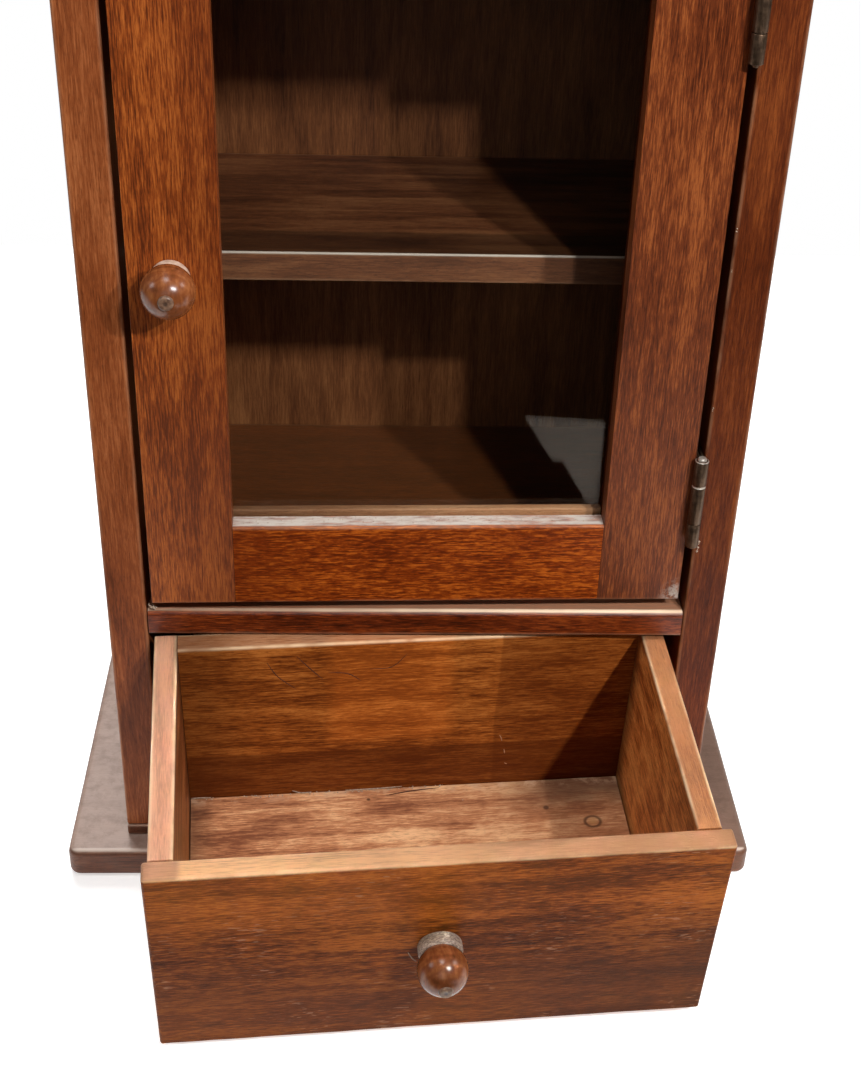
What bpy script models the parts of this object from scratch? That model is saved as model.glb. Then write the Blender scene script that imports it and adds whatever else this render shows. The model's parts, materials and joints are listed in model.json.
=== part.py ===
"""Tabletop display cabinet: glazed door above, one loose drawer below, on a wide plinth."""

import math

import bmesh
import bpy
from mathutils import Matrix, Vector

for old in list(bpy.data.objects):
    bpy.data.objects.remove(old, do_unlink=True)

# Driving dimensions, in metres and degrees
FIT_GAP = 0.0003
CUT_SPARE = 0.002

CARCASE_WIDTH = 0.300
INNER_DEPTH = 0.190
SIDE_THICKNESS = 0.019
BACK_THICKNESS = 0.006
BOARD_EDGE = 0.0012
SMALL_EDGE = 0.0008

PLINTH_THICKNESS = 0.0166
PLINTH_SIDE_OVERHANG = 0.0303
PLINTH_FRONT_OVERHANG = 0.0138
PLINTH_CORNER = 0.006
PLINTH_EDGE = 0.0032
FOOT_HEIGHT = 0.0070

BAY_HEIGHT = 0.1312
DIVIDER_THICKNESS = 0.0137
DIVIDER_NOSE = 0.0042

DOOR_HEIGHT = 0.344
DOOR_THICKNESS = 0.018
DOOR_RECESS = 0.001
DOOR_BOTTOM_GAP = 0.0075
DOOR_TOP_GAP = 0.0035
DOOR_AJAR = 1.3
STILE_WIDTH = 0.0399
RAIL_HEIGHT = 0.0427
TENON_LENGTH = 0.014
TENON_CHEEK = 0.002
TENON_SHOULDER = 0.009
TENON_ROOT = 0.004

GLASS_THICKNESS = 0.003
GLASS_MARGIN = 0.0006
REBATE_WIDTH = 0.008
BEAD_DEPTH = 0.0044
BEAD_REVEAL = 0.0006

HINGE_LENGTH = 0.0465
HINGE_INSET = 0.0342
HINGE_LEAF_DEPTH = 0.019
HINGE_LEAF_THICKNESS = 0.0012
HINGE_LEAF_SPACE = 0.0006
HINGE_TAB_INSET = 0.0004
KNUCKLE_RADIUS = 0.0032
KNUCKLE_STANDOFF = 0.0001
LOWER_KNUCKLE = 0.0125
UPPER_KNUCKLE = 0.0133
HINGE_PIN_RADIUS = 0.0012
HINGE_PIN_HEAD_RADIUS = 0.0021
HINGE_PIN_HEAD_HEIGHT = 0.0010
HINGE_SCREW_FROM_EDGE = 0.0065
HINGE_SCREW_FROM_END = 0.010
HINGE_SCREW_LENGTH = 0.010
HINGE_SCREW_HEAD_RADIUS = 0.0019
HINGE_SCREW_HEAD_DEPTH = 0.0008
HINGE_SCREW_HEAD_SINK = 0.0002
HINGE_SCREW_POINT = 0.002
SCREW_SHANK_RADIUS = 0.0010

CATCH_WIDTH = 0.028
CATCH_DEPTH = 0.0134
CATCH_HEIGHT = 0.0157
STRIKE_WIDTH = 0.020
STRIKE_HEIGHT = 0.011
STRIKE_THICKNESS = 0.0012
STRIKE_INSET = 0.002

SHELF_RISE = 0.1628
SHELF_THICKNESS = 0.0143
SHELF_SETBACK = 0.0561
SHELF_PEG_RADIUS = 0.0025
SHELF_PEG_REACH = 0.008
FRONT_PEG_INSET = 0.020
REAR_PEG_INSET = 0.025

DRAWER_BACK_SPACE = 0.0407
DRAWER_RUB_GAP = 0.00044
DRAWER_SIDE_THICKNESS = 0.0112
DRAWER_FRONT_THICKNESS = 0.0107
DRAWER_FRONT_LEFT_GAP = 0.0007
DRAWER_FRONT_RIGHT_GAP = 0.0029
DRAWER_LEFT_LAP = 0.0025
DRAWER_RIGHT_LAP = 0.0047
DRAWER_BOTTOM_THICKNESS = 0.010
DRAWER_BOTTOM_RISE = 0.0041

DRAWER_HOLD = 0.03435
DRAWER_TIP = 7.83
DRAWER_SKEW = 4.33
PIVOT_FROM_BACK = 0.0226
PIVOT_RISE = 0.0125
PIVOT_FROM_SIDE = 0.005
NAIL_RADIUS = 0.0009
NAIL_BITE = 0.005
NAIL_POINT = 0.003
RUNNER_WIDTH = 0.0185
RUNNER_START = 0.014
RUNNER_STEPS = 6
STOP_WIDTH = 0.100
STOP_DEPTH = 0.0134
STOP_HEIGHT = 0.026

KNOB_RADIUS = 0.0117
KNOB_COLLAR_RADIUS = 0.0102
KNOB_COLLAR_LENGTH = 0.0055
KNOB_COLLAR_EDGE = 0.0008
KNOB_NECK_CUT = 0.0031
KNOB_NECK_LENGTH = 0.0004
KNOB_TIP_RADIUS = 0.0034
KNOB_TIP_LENGTH = 0.0014
KNOB_TIP_STEP = 0.0005
KNOB_SCREW_RADIUS = 0.0018
KNOB_SCREW_REACH = 0.009
KNOB_SCREW_POINT = 0.001
KNOB_SCREW_HEAD_RADIUS = 0.0036
KNOB_SCREW_HEAD_HEIGHT = 0.0022
DOOR_KNOB_FROM_EDGE = 0.0184
DOOR_KNOB_RISE = 0.168
DRAWER_KNOB_RISE = 0.0653

BACK_SCREW_INSET = 0.030
BACK_SCREW_LENGTH = 0.016
BACK_SCREW_POINT = 0.002
BACK_SCREW_HEAD_RADIUS = 0.0030
BACK_SCREW_HEAD_HEIGHT = 0.0018

# Derived positions; carcase coordinates have y = 0 on the carcase front and z = 0 under the plinth
HALF = CARCASE_WIDTH / 2
INNER_HALF = HALF - SIDE_THICKNESS
CARCASE_DEPTH = INNER_DEPTH + FIT_GAP + BACK_THICKNESS
FRONT_Y = -(CARCASE_DEPTH - PLINTH_FRONT_OVERHANG) / 2
SIDE_BOTTOM = PLINTH_THICKNESS + FOOT_HEIGHT
BAY_TOP = PLINTH_THICKNESS + BAY_HEIGHT
DIVIDER_TOP = BAY_TOP + DIVIDER_THICKNESS
DOOR_BOTTOM = DIVIDER_TOP + DOOR_BOTTOM_GAP
DOOR_TOP = DOOR_BOTTOM + DOOR_HEIGHT
LID_BOTTOM = DOOR_TOP + DOOR_TOP_GAP
CARCASE_TOP = LID_BOTTOM + DIVIDER_THICKNESS
SHELF_TOP = DIVIDER_TOP + SHELF_RISE
SHELF_BOTTOM = SHELF_TOP - SHELF_THICKNESS

DOOR_SIDE_GAP = 2 * (HINGE_LEAF_THICKNESS + FIT_GAP) + HINGE_LEAF_SPACE
DOOR_HALF = INNER_HALF - DOOR_SIDE_GAP
DOOR_FRONT = DOOR_RECESS
DOOR_BACK = DOOR_RECESS + DOOR_THICKNESS
SIGHT_HALF = DOOR_HALF - STILE_WIDTH
SIGHT_BOTTOM = DOOR_BOTTOM + RAIL_HEIGHT
SIGHT_TOP = DOOR_TOP - RAIL_HEIGHT
GLASS_SETBACK = DOOR_THICKNESS - GLASS_THICKNESS - BEAD_DEPTH - 2 * FIT_GAP
TENON_THICKNESS = GLASS_SETBACK - 2 * TENON_CHEEK
HINGE_X = (INNER_HALF + DOOR_HALF) / 2
HINGE_Y = -(KNUCKLE_RADIUS + KNUCKLE_STANDOFF)
LOWER_HINGE = DOOR_BOTTOM + HINGE_INSET
UPPER_HINGE = DOOR_TOP - HINGE_INSET - HINGE_LENGTH

# The drawer's play: half way out it clears the plinth's front edge, and fully out the cabinet floor
TIP = math.radians(DRAWER_TIP)
SKEW = math.radians(DRAWER_SKEW)
DRAWER_DEPTH = INNER_DEPTH - DRAWER_BACK_SPACE
DRAWER_TRAVEL = DRAWER_DEPTH - DRAWER_HOLD
PIVOT_Y = DRAWER_DEPTH - PIVOT_FROM_BACK
DRAWER_LIFT = TIP * (PIVOT_Y + PLINTH_FRONT_OVERHANG) ** 2 / (4 * DRAWER_TRAVEL) + DRAWER_RUB_GAP
REAR_RISE = PIVOT_FROM_BACK * math.sin(TIP)
TIP_FALL = (BAY_HEIGHT - DRAWER_LIFT - PIVOT_RISE) * (1 - math.cos(TIP))
DRAWER_HEADROOM = (DRAWER_RUB_GAP + REAR_RISE - TIP_FALL) / math.cos(TIP)
DRAWER_BOTTOM = PLINTH_THICKNESS + DRAWER_LIFT
DRAWER_HEIGHT = BAY_HEIGHT - DRAWER_LIFT - DRAWER_HEADROOM
DRAWER_TOP = DRAWER_BOTTOM + DRAWER_HEIGHT
FRONT_LEFT = -INNER_HALF + DRAWER_FRONT_LEFT_GAP
FRONT_RIGHT = INNER_HALF - DRAWER_FRONT_RIGHT_GAP
BOX_LEFT = FRONT_LEFT + DRAWER_LEFT_LAP
BOX_RIGHT = FRONT_RIGHT - DRAWER_RIGHT_LAP
BOX_FRONT = DRAWER_FRONT_THICKNESS + FIT_GAP
BOX_INNER_LEFT = BOX_LEFT + DRAWER_SIDE_THICKNESS
BOX_INNER_RIGHT = BOX_RIGHT - DRAWER_SIDE_THICKNESS
BOX_INNER_BACK = DRAWER_DEPTH - DRAWER_SIDE_THICKNESS
PANEL_BOTTOM = DRAWER_BOTTOM + DRAWER_BOTTOM_RISE
PANEL_TOP = PANEL_BOTTOM + DRAWER_BOTTOM_THICKNESS

PIVOT = Vector((BOX_RIGHT - PIVOT_FROM_SIDE, PIVOT_Y, DRAWER_BOTTOM + PIVOT_RISE))
SWING = Vector((TIP, 0.0, SKEW))
SWING_AXIS = SWING.normalized()
SWING_ANGLE = SWING.length

# Looks: base colour, roughness, metallic
DARK_WOOD = ((0.170, 0.052, 0.018), 0.42, 0.0)
WARM_WOOD = ((0.210, 0.070, 0.022), 0.42, 0.0)
DRAWER_WOOD = ((0.250, 0.095, 0.032), 0.55, 0.0)
INNER_WOOD = ((0.120, 0.045, 0.018), 0.60, 0.0)
KNOB_WOOD = ((0.330, 0.125, 0.040), 0.22, 0.0)
GLASS = ((0.800, 0.840, 0.820), 0.03, 0.0)
BRONZE = ((0.085, 0.060, 0.045), 0.40, 0.9)
STEEL = ((0.450, 0.440, 0.420), 0.35, 0.9)


class Group:
    """Pieces that move together, placed under one empty that stands on their joint axis."""

    def __init__(self, parent, origin):
        self.parent = parent
        self.origin = Vector(origin)


def add_empty(name, location):
    empty = bpy.data.objects.new(name, None)
    empty.empty_display_size = 0.02
    empty.location = location
    bpy.context.scene.collection.objects.link(empty)
    return empty


def add_material(name, look):
    colour, roughness, metallic = look
    material = bpy.data.materials.new(name + "_finish")
    material.use_nodes = True
    shader = material.node_tree.nodes["Principled BSDF"]
    shader.inputs["Base Color"].default_value = (*colour, 1.0)
    shader.inputs["Roughness"].default_value = roughness
    shader.inputs["Metallic"].default_value = metallic
    if look is GLASS:
        shader.inputs["Transmission Weight"].default_value = 1.0
    return material


def add_piece(name, group, form, at, look=None, smooth=False):
    """Turn a bmesh into an object whose origin is at the carcase point `at`."""
    bmesh.ops.recalc_face_normals(form, faces=form.faces)
    mesh = bpy.data.meshes.new(name)
    form.to_mesh(mesh)
    form.free()
    piece = bpy.data.objects.new(name, mesh)
    bpy.context.scene.collection.objects.link(piece)
    piece.parent = group.parent
    piece.location = Vector(at) - group.origin
    if look is None:
        piece.hide_render = True
        piece.display_type = "WIRE"
    else:
        mesh.materials.append(add_material(name, look))
    if smooth:
        mesh.shade_smooth()
        mesh.set_sharp_from_angle(angle=math.radians(35.0))
    return piece


def round_edges(form, radius, along, steps, test=None):
    """Round the straight edges of a block that run along the named axes."""
    axes = [Vector((1, 0, 0)), Vector((0, 1, 0)), Vector((0, 0, 1))]
    wanted = [axis for letter, axis in zip("XYZ", axes) if letter in along]
    picked = []
    for edge in form.edges:
        run = (edge.verts[1].co - edge.verts[0].co).normalized()
        middle = (edge.verts[0].co + edge.verts[1].co) / 2
        if any(abs(run.dot(axis)) > 0.999 for axis in wanted) and (test is None or test(middle)):
            picked.append(edge)
    bmesh.ops.bevel(
        form, geom=picked, offset=radius, offset_type="OFFSET", segments=steps,
        profile=0.5, affect="EDGES", clamp_overlap=True,
    )


def block_form(size):
    form = bmesh.new()
    bmesh.ops.create_cube(form, size=1.0, matrix=Matrix.Diagonal((size.x, size.y, size.z, 1.0)))
    return form


def board(name, group, low, high, look, edge=0.0, along="XYZ", steps=2):
    """A rectangular board between two corners, with its edges eased."""
    low, high = Vector(low), Vector(high)
    form = block_form(high - low)
    if edge > 0.0:
        round_edges(form, edge, along, steps)
    return add_piece(name, group, form, (low + high) / 2, look)


def prism(name, group, at, outline, length, look=None):
    """Extrude a closed outline of (u, v) points along X; u runs along Y and v along Z."""
    form = bmesh.new()
    ring = [form.verts.new((-length / 2, u, v)) for u, v in outline]
    face = form.faces.new(ring)
    moved = bmesh.ops.extrude_face_region(form, geom=[face])["geom"]
    tips = [item for item in moved if isinstance(item, bmesh.types.BMVert)]
    bmesh.ops.translate(form, verts=tips, vec=(length, 0.0, 0.0))
    return add_piece(name, group, form, at, look)


def turned(name, group, at, profile, axis, steps, look=None):
    """Turn a (radius, distance) profile about an axis; it starts and ends on the axis."""
    turn = Vector((0, 0, 1)).rotation_difference(Vector(axis)).to_matrix()
    form = bmesh.new()
    rings = []
    for radius, along in profile:
        count = steps if radius > 1e-7 else 1
        ring = []
        for k in range(count):
            angle = 2 * math.pi * k / steps
            point = Vector((radius * math.cos(angle), radius * math.sin(angle), along))
            ring.append(form.verts.new(turn @ point))
        rings.append(ring)
    for near, far in zip(rings, rings[1:]):
        for k in range(steps):
            nxt = (k + 1) % steps
            quad = [near[k % len(near)], near[nxt % len(near)], far[nxt % len(far)], far[k % len(far)]]
            form.faces.new(list(dict.fromkeys(quad)))
    return add_piece(name, group, form, at, look, smooth=True)


def tubes(name, group, at, spans, outer, inner, steps):
    """Upright tubes, one for each (bottom, top) span, used to build hinge knuckles."""
    form = bmesh.new()
    for bottom, top in spans:
        corners = [(inner, bottom), (outer, bottom), (outer, top), (inner, top)]
        rings = []
        for radius, height in corners:
            ring = []
            for k in range(steps):
                angle = 2 * math.pi * k / steps
                ring.append(form.verts.new((radius * math.cos(angle), radius * math.sin(angle), height)))
            rings.append(ring)
        for near, far in zip(rings, rings[1:] + rings[:1]):
            for k in range(steps):
                nxt = (k + 1) % steps
                form.faces.new((near[k], near[nxt], far[nxt], far[k]))
    return add_piece(name, group, form, at)


def drills(name, group, points, axis, radius, length, steps=16):
    """A cutter made of equal round bores that start at the points and run along the axis."""
    turn = Vector((0, 0, 1)).rotation_difference(Vector(axis)).to_matrix().to_4x4()
    form = bmesh.new()
    for point in points:
        centre = Vector(point) + Vector(axis).normalized() * length / 2
        bmesh.ops.create_cone(
            form, cap_ends=True, segments=steps, radius1=radius, radius2=radius, depth=length,
            matrix=Matrix.Translation(centre) @ turn,
        )
    return add_piece(name, group, form, (0.0, 0.0, 0.0))


def boolean(piece, tool, operation):
    step = piece.modifiers.new(operation.lower(), "BOOLEAN")
    step.operation = operation
    step.solver = "EXACT"
    step.object = tool


# Groups and their joint axes
carcase = Group(None, (0.0, -FRONT_Y, 0.0))

door_axis = add_empty("door_axis", (HINGE_X, FRONT_Y + HINGE_Y, DOOR_BOTTOM))
door_axis.rotation_euler = (0.0, 0.0, math.radians(DOOR_AJAR))
door = Group(door_axis, (HINGE_X, HINGE_Y, DOOR_BOTTOM))

drawer_axis = add_empty("drawer_axis", PIVOT + Vector((0.0, FRONT_Y - DRAWER_TRAVEL, 0.0)))
drawer_axis.rotation_mode = "AXIS_ANGLE"
drawer_axis.rotation_axis_angle = (SWING_ANGLE, *SWING_AXIS)
drawer = Group(drawer_axis, PIVOT)

# Plinth and top board: wide boards with rounded corners and edges
WIDE_HALF = HALF + PLINTH_SIDE_OVERHANG


def wide_board(name, bottom):
    size = Vector((2 * WIDE_HALF, CARCASE_DEPTH + PLINTH_FRONT_OVERHANG, PLINTH_THICKNESS))
    form = block_form(size)
    round_edges(form, PLINTH_CORNER, "Z", 4, lambda middle: middle.y < 0)
    rims = [edge for edge in form.edges if abs(edge.verts[0].co.z - edge.verts[1].co.z) < 1e-6]
    bmesh.ops.bevel(
        form, geom=rims, offset=PLINTH_EDGE, offset_type="OFFSET", segments=3,
        profile=0.5, affect="EDGES", clamp_overlap=True,
    )
    middle_y = (CARCASE_DEPTH - PLINTH_FRONT_OVERHANG) / 2
    return add_piece(name, carcase, form, (0.0, middle_y, bottom + PLINTH_THICKNESS / 2), DARK_WOOD)


wide_board("plinth", 0.0)
wide_board("top_board", CARCASE_TOP + FIT_GAP)

# Carcase boards
FOOT_LOW = PLINTH_THICKNESS + FIT_GAP
FOOT_HIGH = SIDE_BOTTOM - FIT_GAP
sides = {}
for side, sign in (("left", -1), ("right", 1)):
    low_x, high_x = sorted((sign * INNER_HALF, sign * HALF))
    board(
        side + "_foot", carcase, (low_x, 0, FOOT_LOW), (high_x, INNER_DEPTH, FOOT_HIGH),
        DARK_WOOD, SMALL_EDGE,
    )
    sides[side] = board(
        side + "_side", carcase, (low_x, 0, SIDE_BOTTOM), (high_x, INNER_DEPTH, CARCASE_TOP),
        DARK_WOOD, BOARD_EDGE, "Z",
    )

REACH = INNER_HALF - FIT_GAP
BOARD_BACK = INNER_DEPTH - FIT_GAP


def nosed_board(name, bottom, nose_on_top):
    """A board between the sides whose front edge has one well rounded arris."""
    size = Vector((2 * REACH, BOARD_BACK, DIVIDER_THICKNESS))
    form = block_form(size)
    sign = 1 if nose_on_top else -1
    round_edges(form, DIVIDER_NOSE, "X", 4, lambda middle: middle.y < 0 and middle.z * sign > 0)
    middle = (0.0, BOARD_BACK / 2, bottom + DIVIDER_THICKNESS / 2)
    return add_piece(name, carcase, form, middle, WARM_WOOD)


nosed_board("cabinet_floor", BAY_TOP, True)
nosed_board("carcase_lid", LID_BOTTOM, False)
back_panel = board(
    "back_panel", carcase, (-HALF, INNER_DEPTH + FIT_GAP, FOOT_LOW),
    (HALF, CARCASE_DEPTH, CARCASE_TOP), INNER_WOOD,
)

# Loose shelf on four pegs that sit in blind bores of the sides
SHELF_REACH = INNER_HALF - 2 * FIT_GAP
board(
    "shelf", carcase, (-SHELF_REACH, SHELF_SETBACK, SHELF_BOTTOM), (SHELF_REACH, BOARD_BACK, SHELF_TOP),
    WARM_WOOD, SMALL_EDGE, "X",
)
PEG_Z = SHELF_BOTTOM - FIT_GAP - SHELF_PEG_RADIUS
PEG_ROWS = {"front": SHELF_SETBACK + FRONT_PEG_INSET, "rear": INNER_DEPTH - REAR_PEG_INSET}
peg_profile = [
    (0.0, 0.0),
    (SHELF_PEG_RADIUS, 0.0),
    (SHELF_PEG_RADIUS, 2 * SHELF_PEG_REACH - SMALL_EDGE),
    (SHELF_PEG_RADIUS - SMALL_EDGE, 2 * SHELF_PEG_REACH),
    (0.0, 2 * SHELF_PEG_REACH),
]
for side, sign in (("left", -1), ("right", 1)):
    seat = sign * (INNER_HALF + SHELF_PEG_REACH)
    mouth = sign * (INNER_HALF - CUT_SPARE)
    bores = drills(
        side + "_peg_bores", carcase, [(mouth, y, PEG_Z) for y in PEG_ROWS.values()], (sign, 0, 0),
        SHELF_PEG_RADIUS + FIT_GAP, SHELF_PEG_REACH + CUT_SPARE + FIT_GAP,
    )
    boolean(sides[side], bores, "DIFFERENCE")
    for row, y in PEG_ROWS.items():
        name = side + "_" + row + "_shelf_peg"
        turned(name, carcase, (seat, y, PEG_Z), peg_profile, (-sign, 0, 0), 16, KNOB_WOOD)

# Drawer runners: strips whose tops follow the lowest line that the tipping drawer sweeps


def runner_height(y):
    lever = max(0.0, PIVOT.y - y)
    dip = TIP * lever * lever / (4 * DRAWER_TRAVEL)
    return DRAWER_LIFT - dip - 2 * FIT_GAP


runner_outline = [
    (RUNNER_START, FIT_GAP),
    (BOARD_BACK, FIT_GAP),
    (BOARD_BACK, runner_height(BOARD_BACK)),
]
for k in range(RUNNER_STEPS + 1):
    y = PIVOT.y + (RUNNER_START - PIVOT.y) * k / RUNNER_STEPS
    runner_outline.append((y, runner_height(y)))
for side, sign in (("left", -1), ("right", 1)):
    middle = (sign * (INNER_HALF - FIT_GAP - RUNNER_WIDTH / 2), 0, PLINTH_THICKNESS)
    prism(side + "_runner", carcase, middle, runner_outline, RUNNER_WIDTH, DRAWER_WOOD)

STOP_FRONT = DRAWER_DEPTH + 2 * FIT_GAP
board(
    "drawer_stop", carcase, (-STOP_WIDTH / 2, STOP_FRONT, FOOT_LOW),
    (STOP_WIDTH / 2, STOP_FRONT + STOP_DEPTH, PLINTH_THICKNESS + STOP_HEIGHT),
    DRAWER_WOOD, SMALL_EDGE, "X",
)

# Door frame with stub tenons in the stiles and a stepped rebate for the glass behind
stiles = {}
for side, sign in (("left", -1), ("right", 1)):
    inner, outer = sorted((sign * SIGHT_HALF, sign * DOOR_HALF))
    stiles[side] = board(
        side + "_stile", door, (inner, DOOR_FRONT, DOOR_BOTTOM), (outer, DOOR_BACK, DOOR_TOP),
        DARK_WOOD, BOARD_EDGE, "Z",
    )

TENON_FRONT = DOOR_FRONT + TENON_CHEEK
TENON_BACK = TENON_FRONT + TENON_THICKNESS
slack = Vector((CUT_SPARE, FIT_GAP, FIT_GAP))
rails = {}
for level, low, high in (("bottom", DOOR_BOTTOM, SIGHT_BOTTOM), ("top", SIGHT_TOP, DOOR_TOP)):
    half = SIGHT_HALF - FIT_GAP
    rail = board(
        level + "_rail", door, (-half, DOOR_FRONT, low), (half, DOOR_BACK, high),
        WARM_WOOD, BOARD_EDGE, "X",
    )
    rails[level] = rail
    for side, sign in (("left", -1), ("right", 1)):
        inner, outer = sorted((sign * (half - TENON_ROOT), sign * (half + TENON_LENGTH)))
        near = Vector((inner, TENON_FRONT, low + TENON_SHOULDER))
        far = Vector((outer, TENON_BACK, high - TENON_SHOULDER))
        tenon = board(level + "_" + side + "_tenon", door, near, far, None)
        boolean(rail, tenon, "UNION")
        mortise = board(level + "_" + side + "_mortise", door, near - slack, far + slack, None)
        boolean(stiles[side], mortise, "DIFFERENCE")

GLASS_FRONT = DOOR_FRONT + GLASS_SETBACK + FIT_GAP
GLASS_BACK = GLASS_FRONT + GLASS_THICKNESS
REBATE_HALF = SIGHT_HALF + REBATE_WIDTH
REBATE_LOW = SIGHT_BOTTOM - REBATE_WIDTH
REBATE_HIGH = SIGHT_TOP + REBATE_WIDTH
rebate = board(
    "glass_rebate", door, (-REBATE_HALF, DOOR_FRONT + GLASS_SETBACK, REBATE_LOW),
    (REBATE_HALF, DOOR_BACK + CUT_SPARE, REBATE_HIGH), None,
)
for piece in (*stiles.values(), *rails.values()):
    boolean(piece, rebate, "DIFFERENCE")

PANE_HALF = REBATE_HALF - GLASS_MARGIN
PANE_LOW = REBATE_LOW + GLASS_MARGIN
PANE_HIGH = REBATE_HIGH - GLASS_MARGIN
board("glass_pane", door, (-PANE_HALF, GLASS_FRONT, PANE_LOW), (PANE_HALF, GLASS_BACK, PANE_HIGH), GLASS)

BEAD_FRONT = GLASS_BACK + FIT_GAP
BEAD_INNER = SIGHT_HALF + BEAD_REVEAL
for side, sign in (("left", -1), ("right", 1)):
    inner, outer = sorted((sign * BEAD_INNER, sign * PANE_HALF))
    board(
        side + "_bead", door, (inner, BEAD_FRONT, PANE_LOW), (outer, DOOR_BACK, PANE_HIGH),
        DARK_WOOD, SMALL_EDGE, "Z", 1,
    )
BEAD_HALF = BEAD_INNER - FIT_GAP
for level, low, high in (
    ("bottom", PANE_LOW, SIGHT_BOTTOM - BEAD_REVEAL),
    ("top", SIGHT_TOP + BEAD_REVEAL, PANE_HIGH),
):
    board(
        level + "_bead", door, (-BEAD_HALF, BEAD_FRONT, low), (BEAD_HALF, DOOR_BACK, high),
        DARK_WOOD, SMALL_EDGE, "X", 1,
    )

# Butt hinges: two knuckles on the frame leaf, one on the door leaf, a headed pin through all three
MIDDLE_LOW = LOWER_KNUCKLE + FIT_GAP
MIDDLE_HIGH = HINGE_LENGTH - UPPER_KNUCKLE - FIT_GAP
FRAME_SPANS = [(0.0, LOWER_KNUCKLE), (HINGE_LENGTH - UPPER_KNUCKLE, HINGE_LENGTH)]
DOOR_SPANS = [(MIDDLE_LOW, MIDDLE_HIGH)]
LEAF_START = KNUCKLE_RADIUS + FIT_GAP
KNUCKLE_BORE = HINGE_PIN_RADIUS + FIT_GAP
TAB_START = (KNUCKLE_BORE + KNUCKLE_RADIUS) / 2
SCREW_ROWS = (HINGE_SCREW_FROM_END, HINGE_LENGTH - HINGE_SCREW_FROM_END)
SCREW_Y = HINGE_Y + HINGE_LEAF_DEPTH - HINGE_SCREW_FROM_EDGE


def leaf_outline(spans):
    """Leaf side view: a plate with a tab reaching forward to each of its knuckles."""
    points = [
        (HINGE_LEAF_DEPTH, 0.0),
        (HINGE_LEAF_DEPTH, HINGE_LENGTH),
        (LEAF_START, HINGE_LENGTH),
    ]
    for bottom, top in reversed(spans):
        points.append((LEAF_START, top - HINGE_TAB_INSET))
        points.append((TAB_START, top - HINGE_TAB_INSET))
        points.append((TAB_START, bottom + HINGE_TAB_INSET))
        points.append((LEAF_START, bottom + HINGE_TAB_INSET))
    points.append((LEAF_START, 0.0))
    return points


screw_profile = [
    (0.0, 0.0),
    (HINGE_SCREW_HEAD_RADIUS, 0.0),
    (HINGE_SCREW_HEAD_RADIUS, HINGE_SCREW_HEAD_DEPTH),
    (SCREW_SHANK_RADIUS, HINGE_SCREW_HEAD_DEPTH),
    (SCREW_SHANK_RADIUS, HINGE_SCREW_LENGTH - HINGE_SCREW_POINT),
    (0.0, HINGE_SCREW_LENGTH),
]
PIN_FOOT = -FIT_GAP
PIN_TOP = HINGE_LENGTH + FIT_GAP
pin_profile = [
    (0.0, PIN_FOOT - HINGE_PIN_HEAD_HEIGHT),
    (HINGE_PIN_HEAD_RADIUS, PIN_FOOT - HINGE_PIN_HEAD_HEIGHT),
    (HINGE_PIN_HEAD_RADIUS, PIN_FOOT),
    (HINGE_PIN_RADIUS, PIN_FOOT),
    (HINGE_PIN_RADIUS, PIN_TOP),
    (HINGE_PIN_HEAD_RADIUS, PIN_TOP),
    (HINGE_PIN_HEAD_RADIUS, PIN_TOP + 0.5 * HINGE_PIN_HEAD_HEIGHT),
    (0.7 * HINGE_PIN_HEAD_RADIUS, PIN_TOP + HINGE_PIN_HEAD_HEIGHT),
    (0.0, PIN_TOP + 1.1 * HINGE_PIN_HEAD_HEIGHT),
]
LEAF_CENTRE = (HINGE_LEAF_SPACE + HINGE_LEAF_THICKNESS) / 2
HEAD_OFFSET = HINGE_LEAF_SPACE / 2 + HINGE_SCREW_HEAD_SINK
for level, base in (("lower", LOWER_HINGE), ("upper", UPPER_HINGE)):
    turned(level + "_hinge_pin", carcase, (HINGE_X, HINGE_Y, base), pin_profile, (0, 0, 1), 20, BRONZE)
    for owner, group, sign, spans, wood in (
        ("frame", carcase, 1, FRAME_SPANS, sides["right"]),
        ("door", door, -1, DOOR_SPANS, stiles["right"]),
    ):
        stem = level + "_" + owner
        pin_foot = (HINGE_X, HINGE_Y, base)
        leaf_foot = (HINGE_X + sign * LEAF_CENTRE, HINGE_Y, base)
        leaf = prism(
            stem + "_leaf", group, leaf_foot, leaf_outline(spans), HINGE_LEAF_THICKNESS, BRONZE,
        )
        knuckles = tubes(
            stem + "_knuckles", group, pin_foot, spans, KNUCKLE_RADIUS, KNUCKLE_BORE, 24,
        )
        boolean(leaf, knuckles, "UNION")
        starts = [(HINGE_X, SCREW_Y, base + row) for row in SCREW_ROWS]
        holes = drills(
            stem + "_leaf_holes", group, starts, (sign, 0, 0),
            HINGE_SCREW_HEAD_RADIUS + FIT_GAP, DOOR_SIDE_GAP, 12,
        )
        boolean(leaf, holes, "DIFFERENCE")
        bores = drills(
            stem + "_screw_bores", group, starts, (sign, 0, 0),
            SCREW_SHANK_RADIUS + FIT_GAP, HEAD_OFFSET + HINGE_SCREW_LENGTH + 2 * FIT_GAP, 12,
        )
        boolean(wood, bores, "DIFFERENCE")
        for number, row in enumerate(SCREW_ROWS, 1):
            head = (HINGE_X + sign * HEAD_OFFSET, SCREW_Y, base + row)
            name = stem + "_screw_" + str(number)
            turned(name, group, head, screw_profile, (sign, 0, 0), 12, BRONZE)

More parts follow.
